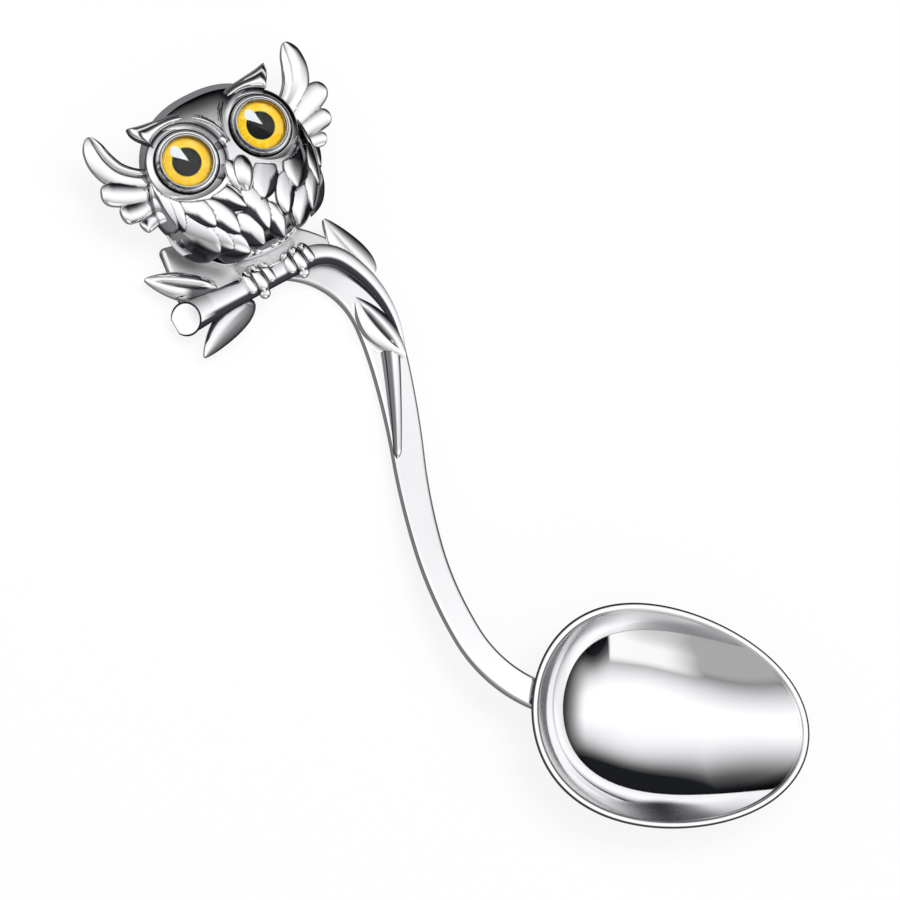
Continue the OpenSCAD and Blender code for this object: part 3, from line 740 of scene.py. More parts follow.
def iris_material(finish):
    """Enamel with fine spokes, a bright ring round the pupil and a dark rim, on the disc's own map."""
    material, tree, shader = fresh_material("Iris enamel")
    uv = add(tree, "ShaderNodeTexCoord").outputs["UV"]
    middle = add(tree, "ShaderNodeVectorMath", {0: uv, 1: (0.5, 0.5, 0)}, operation="SUBTRACT").outputs[0]
    out = add(tree, "ShaderNodeVectorMath", {0: middle}, operation="LENGTH").outputs["Value"]
    radius = calc(tree, "MULTIPLY", out, 2.0)
    parts = add(tree, "ShaderNodeSeparateXYZ", {0: middle})
    angle = calc(tree, "ARCTAN2", parts.outputs["Y"], parts.outputs["X"])
    spoke_at = add(tree, "ShaderNodeCombineXYZ",
                   {"X": calc(tree, "COSINE", angle), "Y": calc(tree, "SINE", angle), "Z": radius}).outputs[0]
    stretch = add(tree, "ShaderNodeVectorMath", {0: spoke_at, 1: (1, 1, 0.16)}, operation="MULTIPLY").outputs[0]
    spokes = noise_at(tree, stretch, 9, 3, 0.6)
    blots = noise_at(tree, uv, 7, 2)
    base = mixed(tree, spread(tree, spokes, 0.35, 0.65), finish.iris, finish.iris_light)
    pale = mixed(tree, spread(tree, blots, 0.5, 0.7, 0, 0.6), base, IRIS_PALE)
    ringed = mixed(tree, spread(tree, radius, *IRIS_RING, 0, 0.85), pale, finish.iris_light)
    set_inputs(tree, shader, {
        "Base Color": mixed(tree, spread(tree, radius, *IRIS_RIM, 0, 0.9), ringed, finish.iris_rim),
        "Roughness": spread(tree, blots, 0.3, 0.7, 0.5, 0.7), "Specular IOR Level": 0.0,
    })
    return material


def pupil_material(finish):
    material, tree, shader = fresh_material("Pupil black")
    smoke = noise_at(tree, add(tree, "ShaderNodeTexCoord").outputs["UV"], 5, 3)
    set_inputs(tree, shader, {
        "Base Color": mixed(tree, spread(tree, smoke, 0.4, 0.8, 0, 0.5), finish.pupil, (0.015, 0.015, 0.017)),
        "Roughness": spread(tree, smoke, 0.3, 0.7, 0.5, 0.7), "Specular IOR Level": 0.0,
    })
    return material


# a white wedge painted on the pupils as the eyes' highlight
def glint_material():
    material, tree, shader = fresh_material("Glint enamel")
    cloud = noise_at(tree, add(tree, "ShaderNodeTexCoord").outputs["Object"], 900, 2)
    set_inputs(tree, shader, {
        "Base Color": mixed(tree, spread(tree, cloud, 0.3, 0.7), (0.93, 0.94, 0.96), (0.80, 0.83, 0.88)),
        "Roughness": 0.5, "Specular IOR Level": 0.0,
    })
    return material


def glass_material(finish):
    material, tree, shader = fresh_material("Eye glass")
    wear = noise_at(tree, add(tree, "ShaderNodeTexCoord").outputs["Object"], 1500, 3)
    set_inputs(tree, shader, {
        "Base Color": (*finish.glass, 1), "Roughness": spread(tree, wear, 0.5, 0.9, 0.0, 0.03),
        "Transmission Weight": 1.0, "IOR": GLASS_IOR,
    })
    return material


def floor_material(finish):
    """Pale floor with its shadow kept, that the camera sees nearly white, and metal and glass dark grey."""
    material, tree, shader = fresh_material("Pale floor")
    cloud = noise_at(tree, add(tree, "ShaderNodeTexCoord").outputs["Object"], 6, 2)
    set_inputs(tree, shader, {
        "Base Color": mixed(tree, cloud, finish.floor, tuple(c * 0.97 for c in finish.floor)),
        "Roughness": 0.7, "Specular IOR Level": 0.0,
    })
    rays = add(tree, "ShaderNodeLightPath").outputs
    mirrored = calc(tree, "MAXIMUM", rays["Is Glossy Ray"], rays["Is Transmission Ray"])
    backdrop = add(tree, "ShaderNodeEmission",
                   {"Color": mixed(tree, mirrored, WHITE, BACKDROP_IN_SILVER), "Strength": 1.0})
    share = calc(tree, "MAXIMUM", calc(tree, "MULTIPLY", mirrored, BACKDROP_MIRRORED),
                 calc(tree, "MULTIPLY", rays["Is Camera Ray"], BACKDROP_SEEN))
    both = add(tree, "ShaderNodeMixShader", {0: share, 1: shader.outputs[0], 2: backdrop.outputs[0]})
    tree.links.new(both.outputs[0], tree.nodes["Material Output"].inputs["Surface"])
    return material


def material_set(context):
    """The spoon's materials, made once."""
    if "Polished silver" not in bpy.data.materials:
        finish = context.scene.owlspoon_finish
        silver_material("Polished silver", finish, polish=0.03, bump=0.012, satin=True)
        silver_material("Cast silver", finish, polish=0.06, bump=0.03)
        silver_material("Grained silver", finish, polish=0.16, bump=0.5, grain=1.0)
        iris_material(finish)
        pupil_material(finish)
        glint_material()
        glass_material(finish)
    return bpy.data.materials


# ---------------------------------------------------------------- bowl and strip

# how far each ring of the flat lip lies in from the outline, and how dark it is painted, as the rim's painted dark
# outline
LIP_RINGS = ((0.28, 0.9), (0.36, 0.0), (0.55, 0.0))
# painted dark reflections on the bowl's wall by the angle in the photo: their middles and widths in degrees
NEAR_MARK, LIGHT_MARK, FAR_MARK = (-96, 32), (-60, 9), (92, 25)


class OWLSPOON_OT_bowl(bpy.types.Operator):
    """Builds the egg-shaped bowl with its flat lip"""

    bl_idname = "owlspoon.bowl"
    bl_label = "Bowl"

    sides, levels = 192, 44

    def execute(self, context):
        # for every ring, how much its outline, its lip's inner edge and its wall are darkened with painted shade
        # and painted dark reflections
        rings, marks = self.rings(context.scene.owlspoon_sizes)
        points, faces = skin(rings)
        piece = new_object("spoon_bowl", points, faces, material_set(context)["Polished silver"])
        painted_dark = [self.painted_dark(x, y, *shares) for shares, places in zip(marks, rings) for x, y, height in places]
        mark(piece, "recess", painted_dark + [0.0, 0.0])
        finish_piece(piece, "bowl", sharp=60)
        return {"FINISHED"}

    def rings(self, z):
        """Rings from the foot up the outside, over the lip and down inside, and the shares of each."""
        rings, marks = [], []
        c, s = cosd(BOWL_TURN), sind(BOWL_TURN)

        def ring(inset, scale, shift, height, shares):
            made = []
            for i in range(self.sides):
                x, y = egg(i * 360 / self.sides, z.bowl_l - 2 * inset, z.bowl_w - 2 * inset)
                x, y = x * scale + shift, y * scale
                made.append((x * c - y * s, x * s + y * c, height))
            rings.append(made)
            marks.append(shares)

        top = (1 - LIP_ROUND / z.bowl_h) ** (1 / OUTER_RISE)
        for i in range(self.levels + 1):
            k = sind(90 * i / self.levels) * top
            ring(0, blend(FOOT_SHARE, 1, k), 0, z.bowl_h * k ** OUTER_RISE, (0.0, 0.0, 0.0))
        for k in (0.25, 0.5, 0.75, 1.0):
            ring(LIP_ROUND * (1 - cosd(90 * k)) * 0.9, 1, 0, z.bowl_h - LIP_ROUND * (1 - sind(90 * k)),
                 (1.0, 0.0, 0.0))
        for inset, dark in LIP_RINGS:
            ring(inset, 1, 0, z.bowl_h, (dark, 0.0, 0.0))
        for k in (0.0, 0.25, 0.5, 0.75, 1.0):
            ring(z.bowl_lip - LIP_ROUND * (1 - sind(90 * k)) * 0.9, 1, 0,
                 z.bowl_h - LIP_ROUND * (1 - cosd(90 * k)) * 0.9, (0.0, k, 0.0))
        for i in range(self.levels, 0, -1):
            k = sind(90 * i / self.levels) * 0.985
            ring(z.bowl_lip, k, -DEEP_SHARE * z.bowl_l / 2 * (1 - k),
                 blend(z.bowl_floor, z.bowl_h, k ** INNER_RISE), (0.0, 0.4 * ease((k - 0.975) / 0.01), k))
        return rings, marks

    def painted_dark(self, x, y, outline, lip, wall_at):
        """Painted darkness of a point: its dark outline, painted shade at its lip's edge away from the light, and
        painted dark reflections on its wall by the angle.
        """
        a = math.degrees(math.atan2(y, x)) - VIEW_TURN
        a = (a + 180) % 360 - 180
        left = ease(-1.5 * cosd(a))
        near = mound(a, *NEAR_MARK)
        wall = max((1 - 0.8 * mound(a, *LIGHT_MARK)) * near, 0.4 * mound(a, *FAR_MARK), 0.3 * left)
        wall *= ease((wall_at - 0.87 + 0.12 * near) / 0.06)
        return max(outline, 0.8 * lip * max(left, ease(-1.5 * sind(a))), wall)


class OWLSPOON_OT_strip(bpy.types.Operator):
    """Builds the flat handle strip, bent in an S and widened behind the owl"""

    bl_idname = "owlspoon.strip"
    bl_label = "Handle strip"

    stations, start, levelled = 260, -1.2, 0.8

    def execute(self, context):
        z = context.scene.owlspoon_sizes
        t, e = z.strip_t, z.strip_edge

        def ring(s, inset=0.0):
            h = strip_w(s) / 2 - inset
            box = bevelled([(-h, inset), (h, inset), (h, t - inset), (-h, t - inset)], e)
            return [on_strip(s, side, up) for side, up in box]

        rings = [ring(blend(self.start, STRIP_L - e, i / self.stations)) for i in range(self.stations + 1)]
        rings += [ring(STRIP_L - e * (1 - sind(a)), e * (1 - cosd(a)) * 0.98) for a in (22, 45, 68, 90)]
        piece = new_object("handle_strip_silver", *skin(rings), material_set(context)["Polished silver"])
        outward(piece.data)
        self.trim_by_bowl(piece)
        finish_piece(piece, "handle_strip", sharp=50)
        level_top(piece, self.levelled)
        return {"FINISHED"}

    def trim_by_bowl(self, piece):
        """Cuts the strip's root along the bowl's outer wall, whose filled shape serves as the cutter."""
        work = bmesh.new()
        work.from_mesh(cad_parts["bowl"].data)
        bmesh.ops.remove_doubles(work, verts=work.verts, dist=SAME_PLACE)
        hull = bmesh.ops.convex_hull(work, input=work.verts)
        spare = [g for g in hull["geom_interior"] + hull["geom_unused"] if isinstance(g, bmesh.types.BMVert)]
        bmesh.ops.delete(work, geom=spare, context="VERTS")
        bmesh.ops.recalc_face_normals(work, faces=work.faces)
        mesh = bpy.data.meshes.new("bowl_cutter")
        work.to_mesh(mesh)
        work.free()
        cutter = bpy.data.objects.new("bowl_cutter", mesh)
        bpy.context.scene.collection.objects.link(cutter)
        cut_away(piece, cutter)


# ---------------------------------------------------------------- branch, twig and leaves

class OWLSPOON_OT_branch(bpy.types.Operator):
    """Builds the round branch with its slanting cut end, and the twig along the strip"""

    bl_idname = "owlspoon.branch"
    bl_label = "Branch and twig"

    rim_r, rim_steps, cut_inset = 0.13, 96, 0.3
    # height of the painted dark line of shade at the branch's foot, and the height up to which its painted dark
    # side shows
    foot_line, dark_below = 0.5, 5.4
    twig_from, twig_run, twig_steps, twig_dark = FLAT_FROM + 2.6, 17.0, 60, 0.85
    twig_d, twig_side, twig_seat = (2.6, 1.1), (-0.1, 0.4), 0.45

    def execute(self, context):
        silver = material_set(context)["Cast silver"]
        self.branch(silver)
        self.twig(silver, context.scene.owlspoon_sizes.strip_t)
        return {"FINISHED"}

    def branch(self, silver):
        stations = [0.0, 0.35] + [blend(CUT_REACH, BRANCH_TOTAL, i / 150) for i in range(151)]
        radii = [branch_radius(s) for s in stations]
        points = [(*branch_line(s)[:2], branch_z(s)) for s in stations]
        rod = rod_object("branch_silver", points, radii, 64, silver)

        def seated(x, y, z):
            low = OWL_BACK
            near = clamp(1 - (x - BRANCH_START) / CUT_REACH)
            x += near * BRANCH_SLANT * (max(z, low) - (OWL_BACK - BRANCH_SEAT))
            return owl_point(x, y, max(z, low))

        move_points(rod, seated)
        side = dark_side([owl_point(*p) for p in points], radii, 0.35)

        def painted_dark(x, y, z):
            foot = 0.9 * (1 - (z - OWL_BACK) / self.foot_line)
            return max(foot, side(x, y) if z < self.dark_below else 0)

        mark_painted_shade(rod, painted_dark, 0.7)
        self.clear_cut(rod)
        # a thin rod round the cut end, painted fully dark as its rim of shade
        rim = []
        for i in range(self.rim_steps + 1):
            a = i * 360 / self.rim_steps
            rim.append(seated(BRANCH_START, BRANCH_D / 2 * cosd(a), branch_z(0) + BRANCH_D / 2 * sind(a)))
        rim = rod_object("cut_rim", rim, [self.rim_r] * len(rim), 12, silver)
        mark_painted_shade(rim, 1.0)
        unite(rod, rim)
        finish_piece(rod, "branch", sharp=35)

    def clear_cut(self, rod):
        """Gives the cut face a clear middle inside its painted dark rim."""
        work = bmesh.new()
        work.from_mesh(rod.data)
        count = len(work.verts)
        cut = max(work.faces, key=lambda face: face.calc_area())
        bmesh.ops.inset_individual(work, faces=[cut], thickness=self.cut_inset * MM)
        work.to_mesh(rod.data)
        work.free()
        for darkness in rod.data.attributes["recess"].data[count:]:
            darkness.value = 0.0

    def twig(self, silver, strip_t):
        line, radii = [], []
        for i in range(self.twig_steps + 1):
            k = i / self.twig_steps
            s = self.twig_from - k * self.twig_run
            radius = blend(*self.twig_d, k) / 2 * round_tip(k, 0.93, 0.07, 0.02)
            x, y, z = on_strip(s, blend(*self.twig_side, k) * strip_w(s), strip_t)
            line.append((x, y, z + radius * self.twig_seat))
            radii.append(radius)
        twig = rod_object("twig_silver", line, radii, 40, silver)
        side = dark_side(line, radii, 0.15)
        # its right side painted dark for its shade and dark reflection
        mark_painted_shade(twig, lambda x, y, z: self.twig_dark * side(x, y), 0.3)
        finish_piece(twig, "twig", sharp=60)


# stem's place across and up in the owl's frame, the way it points, length, groove, crest, bow to its left,
# lift, how even its slopes are shaded, then where its painted dark side starts and is full across, how dark it
# is painted, and how far along it runs
LEAVES = {
    "leaf_left": ((-8.7, 1.95), 146, 10.4, 0.6, 2.0, 0.3, 0, 0.35, (0.0, 0.25, 0.9, 0.5)),
    "leaf_lower": ((-4.9, -1.85), 201, 11.0, 0.12, 1.9, -0.5, 0, 0.3, (-0.4, 0.6, 0.85, 2)),
    "leaf_bend": ((13.0, -6.3), 105, 10.6, 0.1, 1.5, 0.5, 0, 0.4, (0.1, -0.7, 0.45, 2)),
    "leaf_handle": ((10.65, -18.95), 102, 11.0, 0.9, 1.9, 0.3, 0.75, 0.5, (0, 1, 0, 1)),
}
LEAF_EDGE, LEAF_STATIONS = 0.9, 56
LEAF_HALF = (-1, -0.985, -0.95, -0.88, -0.78, -0.65, -0.5, -0.36, -0.26, -0.18, -0.12, -0.06)
LEAF_ACROSS = (*LEAF_HALF, 0.0, *(-u for u in reversed(LEAF_HALF)))


class OWLSPOON_OT_leaves(bpy.types.Operator):
    """Builds the four cast leaves, each with a groove along its midrib"""

    bl_idname = "owlspoon.leaves"
    bl_label = "Leaves"

    def execute(self, context):
        width = context.scene.owlspoon_sizes.leaf_w
        for node, (stem, turn, run, groove, crest, bow, lift, level, dark) in LEAVES.items():
            points, faces, painted_dark = self.blade(run, width, groove, crest, bow, lift, dark)
            c, s = cosd(turn), sind(turn)
            placed = [
                owl_point(stem[0] + x * c - y * s, stem[1] + x * s + y * c, OWL_BACK + z) for x, y, z in points
            ]
            silver_piece(context, node + "_silver", node, (placed, faces), painted_dark, level, 42)
        return {"FINISHED"}

    def blade(self, run, width, groove, crest, bow, lift, dark):
        """Points and faces of a leaf along x, and how dark each point is painted: a painted dark side and painted
        shade in its groove.
        """
        rings, painted_dark = [], []
        start, full_at, darkest, along = dark
        for i in range(LEAF_STATIONS + 1):
            k = blend(0.004, 0.996, i / LEAF_STATIONS)
            full = sind(180 * k) ** 0.85 if lift else sind(180 * k ** 0.75) ** 0.75
            half = width / 2 * blend(0.04, 1, full)
            c = 2 * half / width
            middle, deep = bow * math.sin(math.pi * k), ease(sind(180 * k) * 1.6 - 0.4)
            ring = []
            for u in LEAF_ACROSS:
                swell = (1 - abs(u) ** 2.6) ** 0.8
                valley = deep * mound(u, 0, 0.17)
                height = LEAF_EDGE * blend(0.75, 1, c) + (crest - LEAF_EDGE) * c * swell - groove * c * valley
                ring.append((k * run, half * u + middle, height + lift))
                side = darkest * ease((u - start) / (full_at - start)) * ease((along - k) / 0.15)
                painted_dark.append(max(side, clamp(1.3 * groove * valley - 0.1)))
            rings.append([(k * run, middle - half, 0), *ring, (k * run, middle + half, 0)])
            painted_dark[-len(ring):] = [0.0, *painted_dark[-len(ring):], 0.0]
        points, faces = skin(rings)
        return points, faces, painted_dark + [0.0, 0.0]


# ---------------------------------------------------------------- owl

# tip across and up from the branch, lean from straight down, length, width
LOW_FEATHERS = ((-8.3, 6.0, 22, 7.4, 4.6), (-3.9, 3.9, 52, 6.4, 3.4))
BREAST_FEATHERS = (
    (-2.1, 3.4, 18, 5.6, 3.4), (1.1, 3.1, 5, 5.4, 3.0), (3.8, 3.6, -34, 5.8, 3.4), (-4.2, 3.4, 40, 6.6, 3.5),
    (-7.9, 5.3, 25, 8.0, 4.3), (-4.8, 6.2, 21, 6.8, 3.6), (-0.8, 4.9, 2, 7.0, 3.9), (2.6, 5.7, -24, 6.0, 3.0),
    (6.9, 4.7, -38, 8.2, 4.3), (-7.4, 8.6, 18, 6.4, 3.6), (-2.5, 8.9, 30, 6.2, 3.3), (0.1, 8.9, -36, 6.4, 4.0),
    (5.5, 8.2, -31, 7.2, 4.2), (-11.0, 10.2, 0, 8.4, 2.4), (-11.7, 10.8, -4, 8.0, 2.4), (9.6, 7.6, -24, 7.0, 3.4),
    (12.4, 10.2, -6, 8.4, 2.8), (-6.2, 4.8, 32, 6.2, 3.4),
)
# stations across a feather, as shares of its half width
VANE = (-1, -0.995, -0.96, -0.9, -0.8, -0.68, -0.54, -0.4, -0.2,
        0, 0.22, 0.42, 0.6, 0.76, 0.88, 0.96, 0.995, 1)
# how closely low and other feathers hug the body, how much flatter their slopes are shaded, how much painted shade
# low ones keep
LOW_HUG, LOW_LEVEL, HUG, LEVEL, LOW_PAINTED_DARK = 0.985, 0.95, 0.93, 0.35, 0.3
# how far in from the body's outline, and how high, each ring of the cover in its back lies
COVER_RINGS = ((0.15, 0.0), (0.04, 0.04), (0, 0.15), (0, 0.65), (0.04, 0.76), (0.15, 0.8))
COVER_INSET = 1.35


class OWLSPOON_OT_owl_body(bpy.types.Operator):
    """Builds the owl's head and breast with its overlapping feathers, and the cover in its back"""

    bl_idname = "owlspoon.owl_body"
    bl_label = "Owl's body"

    # the down under the breast: half its width, its height, and how uneven it is
    tuft_half, tuft_h, tuft_puff = 4.8, 3.4, 0.22

    def execute(self, context):
        sizes = context.scene.owlspoon_sizes
        kinds = material_set(context)
        body = new_object("owl_body_silver", *self.dome(sizes), kinds["Cast silver"])
        self.cut_sockets(body, sizes)
        tuft = new_object("owl_tuft", *self.tuft(), kinds["Grained silver"])
        feathers = self.feathers(sizes, kinds["Cast silver"])
        mark_painted_shade(body, 0.0, 0.15)
        mark_painted_shade(tuft, 0.0, 0.9)
        unite(body, tuft, feathers)
        finish_piece(body, "owl_body", sharp=55)
        self.cover(context)
        return {"FINISHED"}

    def cut_sockets(self, body, sizes):
        """Cuts the seats of the round eye settings out of the head."""
        r = sizes.bezel_d / 2 + 0.02
        parts = [skin([eye_ring(side, r, h, 120) for h in (0.02, 9.0)]) for side in (-1, 1)]
        cutter = new_object("socket_cutter", *join(parts), body.data.materials[0])
        outward(cutter.data)
        outward(body.data)
        cut_away(body, cutter)

    def outline(self, sizes, inset, o, height, count=192):
        ring = []
        across, up = sizes.owl_w / 2 - inset, sizes.owl_h / 2 - inset
        for i in range(count):
            a = i * 360 / count
            n = OWL_ROUND if a < 180 else OWL_ROUND_BELOW
            r = o * (abs(cosd(a) / across) ** n + abs(sind(a) / up) ** n) ** (-1 / n)
            ring.append(owl_point(r * cosd(a), owl_middle(sizes) + r * sind(a), height))
        return ring

    def dome(self, sizes):
        """The belly, drawn in below, and the dome over it up to the breast."""
        n, rings, below, above = OWL_DOME, [], 16, 60
        for i in range(below):
            drop = 1 - i / below
            out = (1 - (drop / DOME_FOOT) ** n) ** (2 / n / 2)
            rings.append(self.outline(sizes, 0, out, OWL_BACK + OWL_BELLY * (1 - drop)))
        for i in range(above + 1):
            a = 89.0 * i / above
            out = (cosd(a) ** n + sind(a) ** n) ** (-1 / n)
            rings.append(self.outline(sizes, 0, out * cosd(a),
                                      OWL_BACK + OWL_BELLY + (sizes.owl_d - OWL_BELLY) * out * sind(a)))
        return skin(rings)

    def tuft(self):
        """A grainy dome of small down, half under the breast."""
        rings = []
        for i in range(25):
            a = 88 * i / 24
            ring = []
            for f in range(0, 360, 5):
                x, y = self.tuft_half * cosd(a) * cosd(f), OWL_RISE * (1 + 0.75 * cosd(a) * sind(f))
                z = self.tuft_h * sind(a)
                puff = self.tuft_puff * noise.noise(Vector((x, y, z)) * 1.1) * (0 if i == 0 else 1)
                ring.append(owl_point(x + puff, y + puff, OWL_BACK + z * (1 + 0.25 * puff)))
            rings.append(ring)
        return skin(rings)

    def blade(self, silver):
        """One feather, 1 long and 2 wide, to be sized on its point, with painted shade along its inner side, edges
        and tip.
        """
        rows, painted_dark, stations = [], [], 54
        widest = 0.52
        for i in range(stations + 1):
            k = i / stations
            inner = blend(-0.95, -0.3, ease((k - 0.12) / 0.5))
            out = (k - widest) / (widest if k < widest else 0.48)
            half = max(0.02, clamp(1 - out * out) ** (0.5 if k < widest else 0.78))
            lift = blend(0.3, 1, k)
            row = []
            for u in VANE:
                side, edge = ease((inner - u) / 0.2 + 0.5), ease((abs(u) - 0.88) / 0.08) * ease(k / 0.3)
                painted_dark.append(max(side, 0.9 * edge, 0.9 * ease((k - 0.94) / 0.04)))
                row.append((half * u, 1 - k, -0.6 if abs(u) == 1 else lift * (1 - abs(u) ** 2.6) ** 0.7))
            rows.append(row)
        blade = new_object("feather_blade", *skin(rows), silver)
        mark(blade, "recess", painted_dark + [0.0, 0.0])
        for vertex in blade.data.vertices:
            vertex.co /= MM
        return blade

    def feathers(self, sizes, silver):
        """The breast's feathers, laid on the body from their points; the low ones lie closer to it."""
        blade = self.blade(silver)
        places, turns, scales = [], [], []
        for x, y, lean, run, width in LOW_FEATHERS + BREAST_FEATHERS:
            places.append((x, y, 0))
            turns.append(lean)
            scales.append((math.copysign(width / 2, lean), run, sizes.feather_lift))
        feathers = points_object("feathers", places, turns, scales, silver)
        run_tree(feathers, row_tree(), {"Blade": blade, "Material": silver})
        bpy.data.objects.remove(blade)
        mesh = feathers.data
        low = len(mesh.vertices) // len(places) * len(LOW_FEATHERS)
        even = mesh.attributes.new("level", "FLOAT", "POINT")
        for i, vertex in enumerate(mesh.vertices):
            x, y, z = vertex.co / MM
            z += feather_base(sizes, x, y, LOW_HUG if i < low else HUG)
            vertex.co = Vector(owl_point(x, y, off_eyes(sizes, x, y, z))) * MM
            even.data[i].value = LOW_LEVEL if i < low else LEVEL
            if i < low:
                mesh.attributes["recess"].data[i].value *= LOW_PAINTED_DARK
        return feathers

    def cover(self, context):
        base = (1 - (1 / DOME_FOOT) ** OWL_DOME) ** (1 / OWL_DOME)
        sizes = context.scene.owlspoon_sizes
        rings = [self.outline(sizes, COVER_INSET + inset, base, OWL_BACK + h) for inset, h in COVER_RINGS]
        silver_piece(context, "owl_back_silver", "owl_back", skin(rings))


# middle line across and up from its root to its tip with the half width at each place, height, groove
WING_FEATHERS = (
    (((9.6, 14.7, 0.9), (12.4, 14.3, 1.05), (14.0, 13.95, 1.1), (15.2, 13.6, 1.0)), 0.0, None),
    (((9.4, 15.9, 1.1), (12.8, 16.2, 1.35), (15.2, 16.3, 1.5), (17.2, 16.4, 1.35)), 0.35, None),
    (((9.4, 17.4, 1.3), (13.0, 18.3, 1.65), (15.6, 19.3, 1.85), (18.4, 20.4, 1.6)), 0.75, None),
    (((9.8, 18.9, 1.4), (12.7, 20.3, 1.7), (14.8, 22.0, 1.95), (15.9, 24.2, 1.95), (16.2, 26.4, 1.6),
      (16.1, 28.3, 0.9)), 1.2, 0.25),
)


class OWLSPOON_OT_wings(bpy.types.Operator):
    """Builds both wings from plump finger feathers"""

    bl_idname = "owlspoon.wings"
    bl_label = "Wings"

    stations, sides, root_z = 48, 40, OWL_BACK + 3.2

    def execute(self, context):
        for name, side in (("left_wing", -1), ("right_wing", 1)):
            fingers = join([self.finger(side, *feather) for feather in WING_FEATHERS])
            silver_piece(context, name + "_silver", name, fingers, 0.0, 0.45, 70)
        return {"FINISHED"}

    def finger(self, side, points, height, groove):
        line = smooth_line(points, self.stations)
        rings = []
        for i, (x, y, half) in enumerate(line):
            k = i / self.stations
            ahead, behind = line[min(i + 1, self.stations)], line[max(i - 1, 0)]
            a = math.degrees(math.atan2(ahead.y - behind.y, ahead.x - behind.x))
            cap = round_tip(k, 0.8, 0.2, 0.0016)
            z = self.root_z + height + 1.6 * k * k
            ring = []
            for j in range(self.sides):
                f = 360 * j / self.sides
                across, up = cosd(f), sind(f)
                rise = cap * (1.15 if up > 0 else 0.7) * half ** 0.6 * up
                if up > 0 and groove is not None:
                    rise -= 0.8 * cap * mound(across, groove, 0.16) * up
                w = half * cap * across
                ring.append(owl_point(side * (x - w * sind(a)), y + w * cosd(a), z + rise))
            rings.append(ring)
        return skin(rings)


class OWLSPOON_OT_brows(bpy.types.Operator):
    """Builds the pointed brows over the eyes, each with a fold along it"""

    bl_idname = "owlspoon.brows"
    bl_label = "Brows"

    # angle round the eye at the brow's inner and outer edge, and its width, up to the tip and back from it
    along = ((184, 183, 0.15), (166, 162, 0.45), (150, 145, 0.75), (137, 133, 1.05), (124, 121, 1.25),
             (111, 109, 1.33), (98, 96, 1.36), (86, 84, 1.55), (75, 72.6, 2.05), (67, 63.8, 2.75), (61, 56.2, 3.8))
    back = ((61, 56.2, 3.8), (57, 52.6, 2.9), (54, 51.2, 1.8), (52, 51.6, 0.8), (51, 51, 0.1))
    # share of the width out from the eye, drop from the top, and how dark it is painted for the shade in the fold
    # and at the edges
    section = ((0, 3.2, 1), (0, 1.1, 1), (0.02, 0.62, 0.7), (0.08, 0.3, 0), (0.18, 0.1, 0), (0.3, 0.04, 0),
               (0.42, 0.12, 0), (0.5, 0.36, 0.7), (0.54, 0.5, 1), (0.58, 0.4, 0.9), (0.64, 0.28, 0.2),
               (0.74, 0.34, 0), (0.86, 0.56, 0), (0.95, 0.86, 0.2), (1, 1.2, 0.8), (1, 2.6, 1))

    def execute(self, context):
        sizes = context.scene.owlspoon_sizes
        for name, side in (("left_brow", -1), ("right_brow", 1)):
            rings = self.brow(sizes, side)
            painted_dark = [dark for out, down, dark in self.section] * len(rings) + [0.5, 0.5]
            silver_piece(context, name + "_silver", name, skin(rings), painted_dark, 0.0, 60)
        return {"FINISHED"}

    def brow(self, sizes, side):
        rings, r = [], sizes.bezel_d / 2 + 0.04
        for inner, outer, w in smooth_line(self.along, 60) + smooth_line(self.back, 20)[1:]:
            w = max(0.08, w)
            k = clamp((self.along[0][0] - inner) / (self.along[0][0] - self.back[-1][0]))
            x, y = EYE_GAP / 2 + (r + w) * cosd(outer), EYE_RISE + (r + w) * sind(outer)
            top = max(BEZEL_Z + blend(3.3, 2.9, k), owl_top(sizes, x, y) + 0.45)
            deep = blend(1, 0.75, k) * clamp(w / 1.2, 0.3, 1)
            ring = []
            for out, down, dark in self.section:
                a = blend(inner, outer, out)
                px = max(0.0, EYE_GAP / 2 + (r + w * out) * cosd(a))
                ring.append(owl_point(side * px, EYE_RISE + (r + w * out) * sind(a), top - deep * down))
            rings.append(ring)
        return rings


class OWLSPOON_OT_beak(bpy.types.Operator):
    """Builds the drop-shaped beak with its cere"""

    bl_idname = "owlspoon.beak"
    bl_label = "Beak"

    # round end across and up, point across and up, half width, height: the beak, its side and its cere
    drops = ((0.0, 16.0, -1.1, 10.7, 1.6, 1.8), (-1.6, 16.1, -2.0, 11.4, 1.0, 0.9),
             (-0.6, 19.5, -0.55, 18.2, 0.5, 0.6))

    def execute(self, context):
        parts = [self.drop(context.scene.owlspoon_sizes, *drop) for drop in self.drops]
        silver_piece(context, "beak_silver", "beak", join(parts), 0.0, 0.3, 70)
        return {"FINISHED"}

    def drop(self, sizes, x0, y0, x1, y1, half, height):
        """A plump drop from its round end to its point."""
        rings, stations, count, widest = [], 40, 36, 0.42
        for i in range(stations + 1):
            k = 0.5 - 0.5 * math.cos(math.pi * blend(0.02, 0.985, i / stations))
            out = (k - widest) / (widest if k < widest else 0.58)
            full = clamp(1 - out * out) ** (0.5 if k < widest else 0.7)
            x, y = blend(x0, x1, k), blend(y0, y1, k)
            base, ring = owl_top(sizes, x, y), []
            for j in range(count):
                f = 360 * j / count
                up = height * full ** 0.8 * sind(f) if sind(f) > 0 else 1.1 * sind(f)
                ring.append(owl_point(x + half * full * cosd(f), y, base + up))
            rings.append(ring)
        return skin(rings)


# ---------------------------------------------------------------- eyes and feet

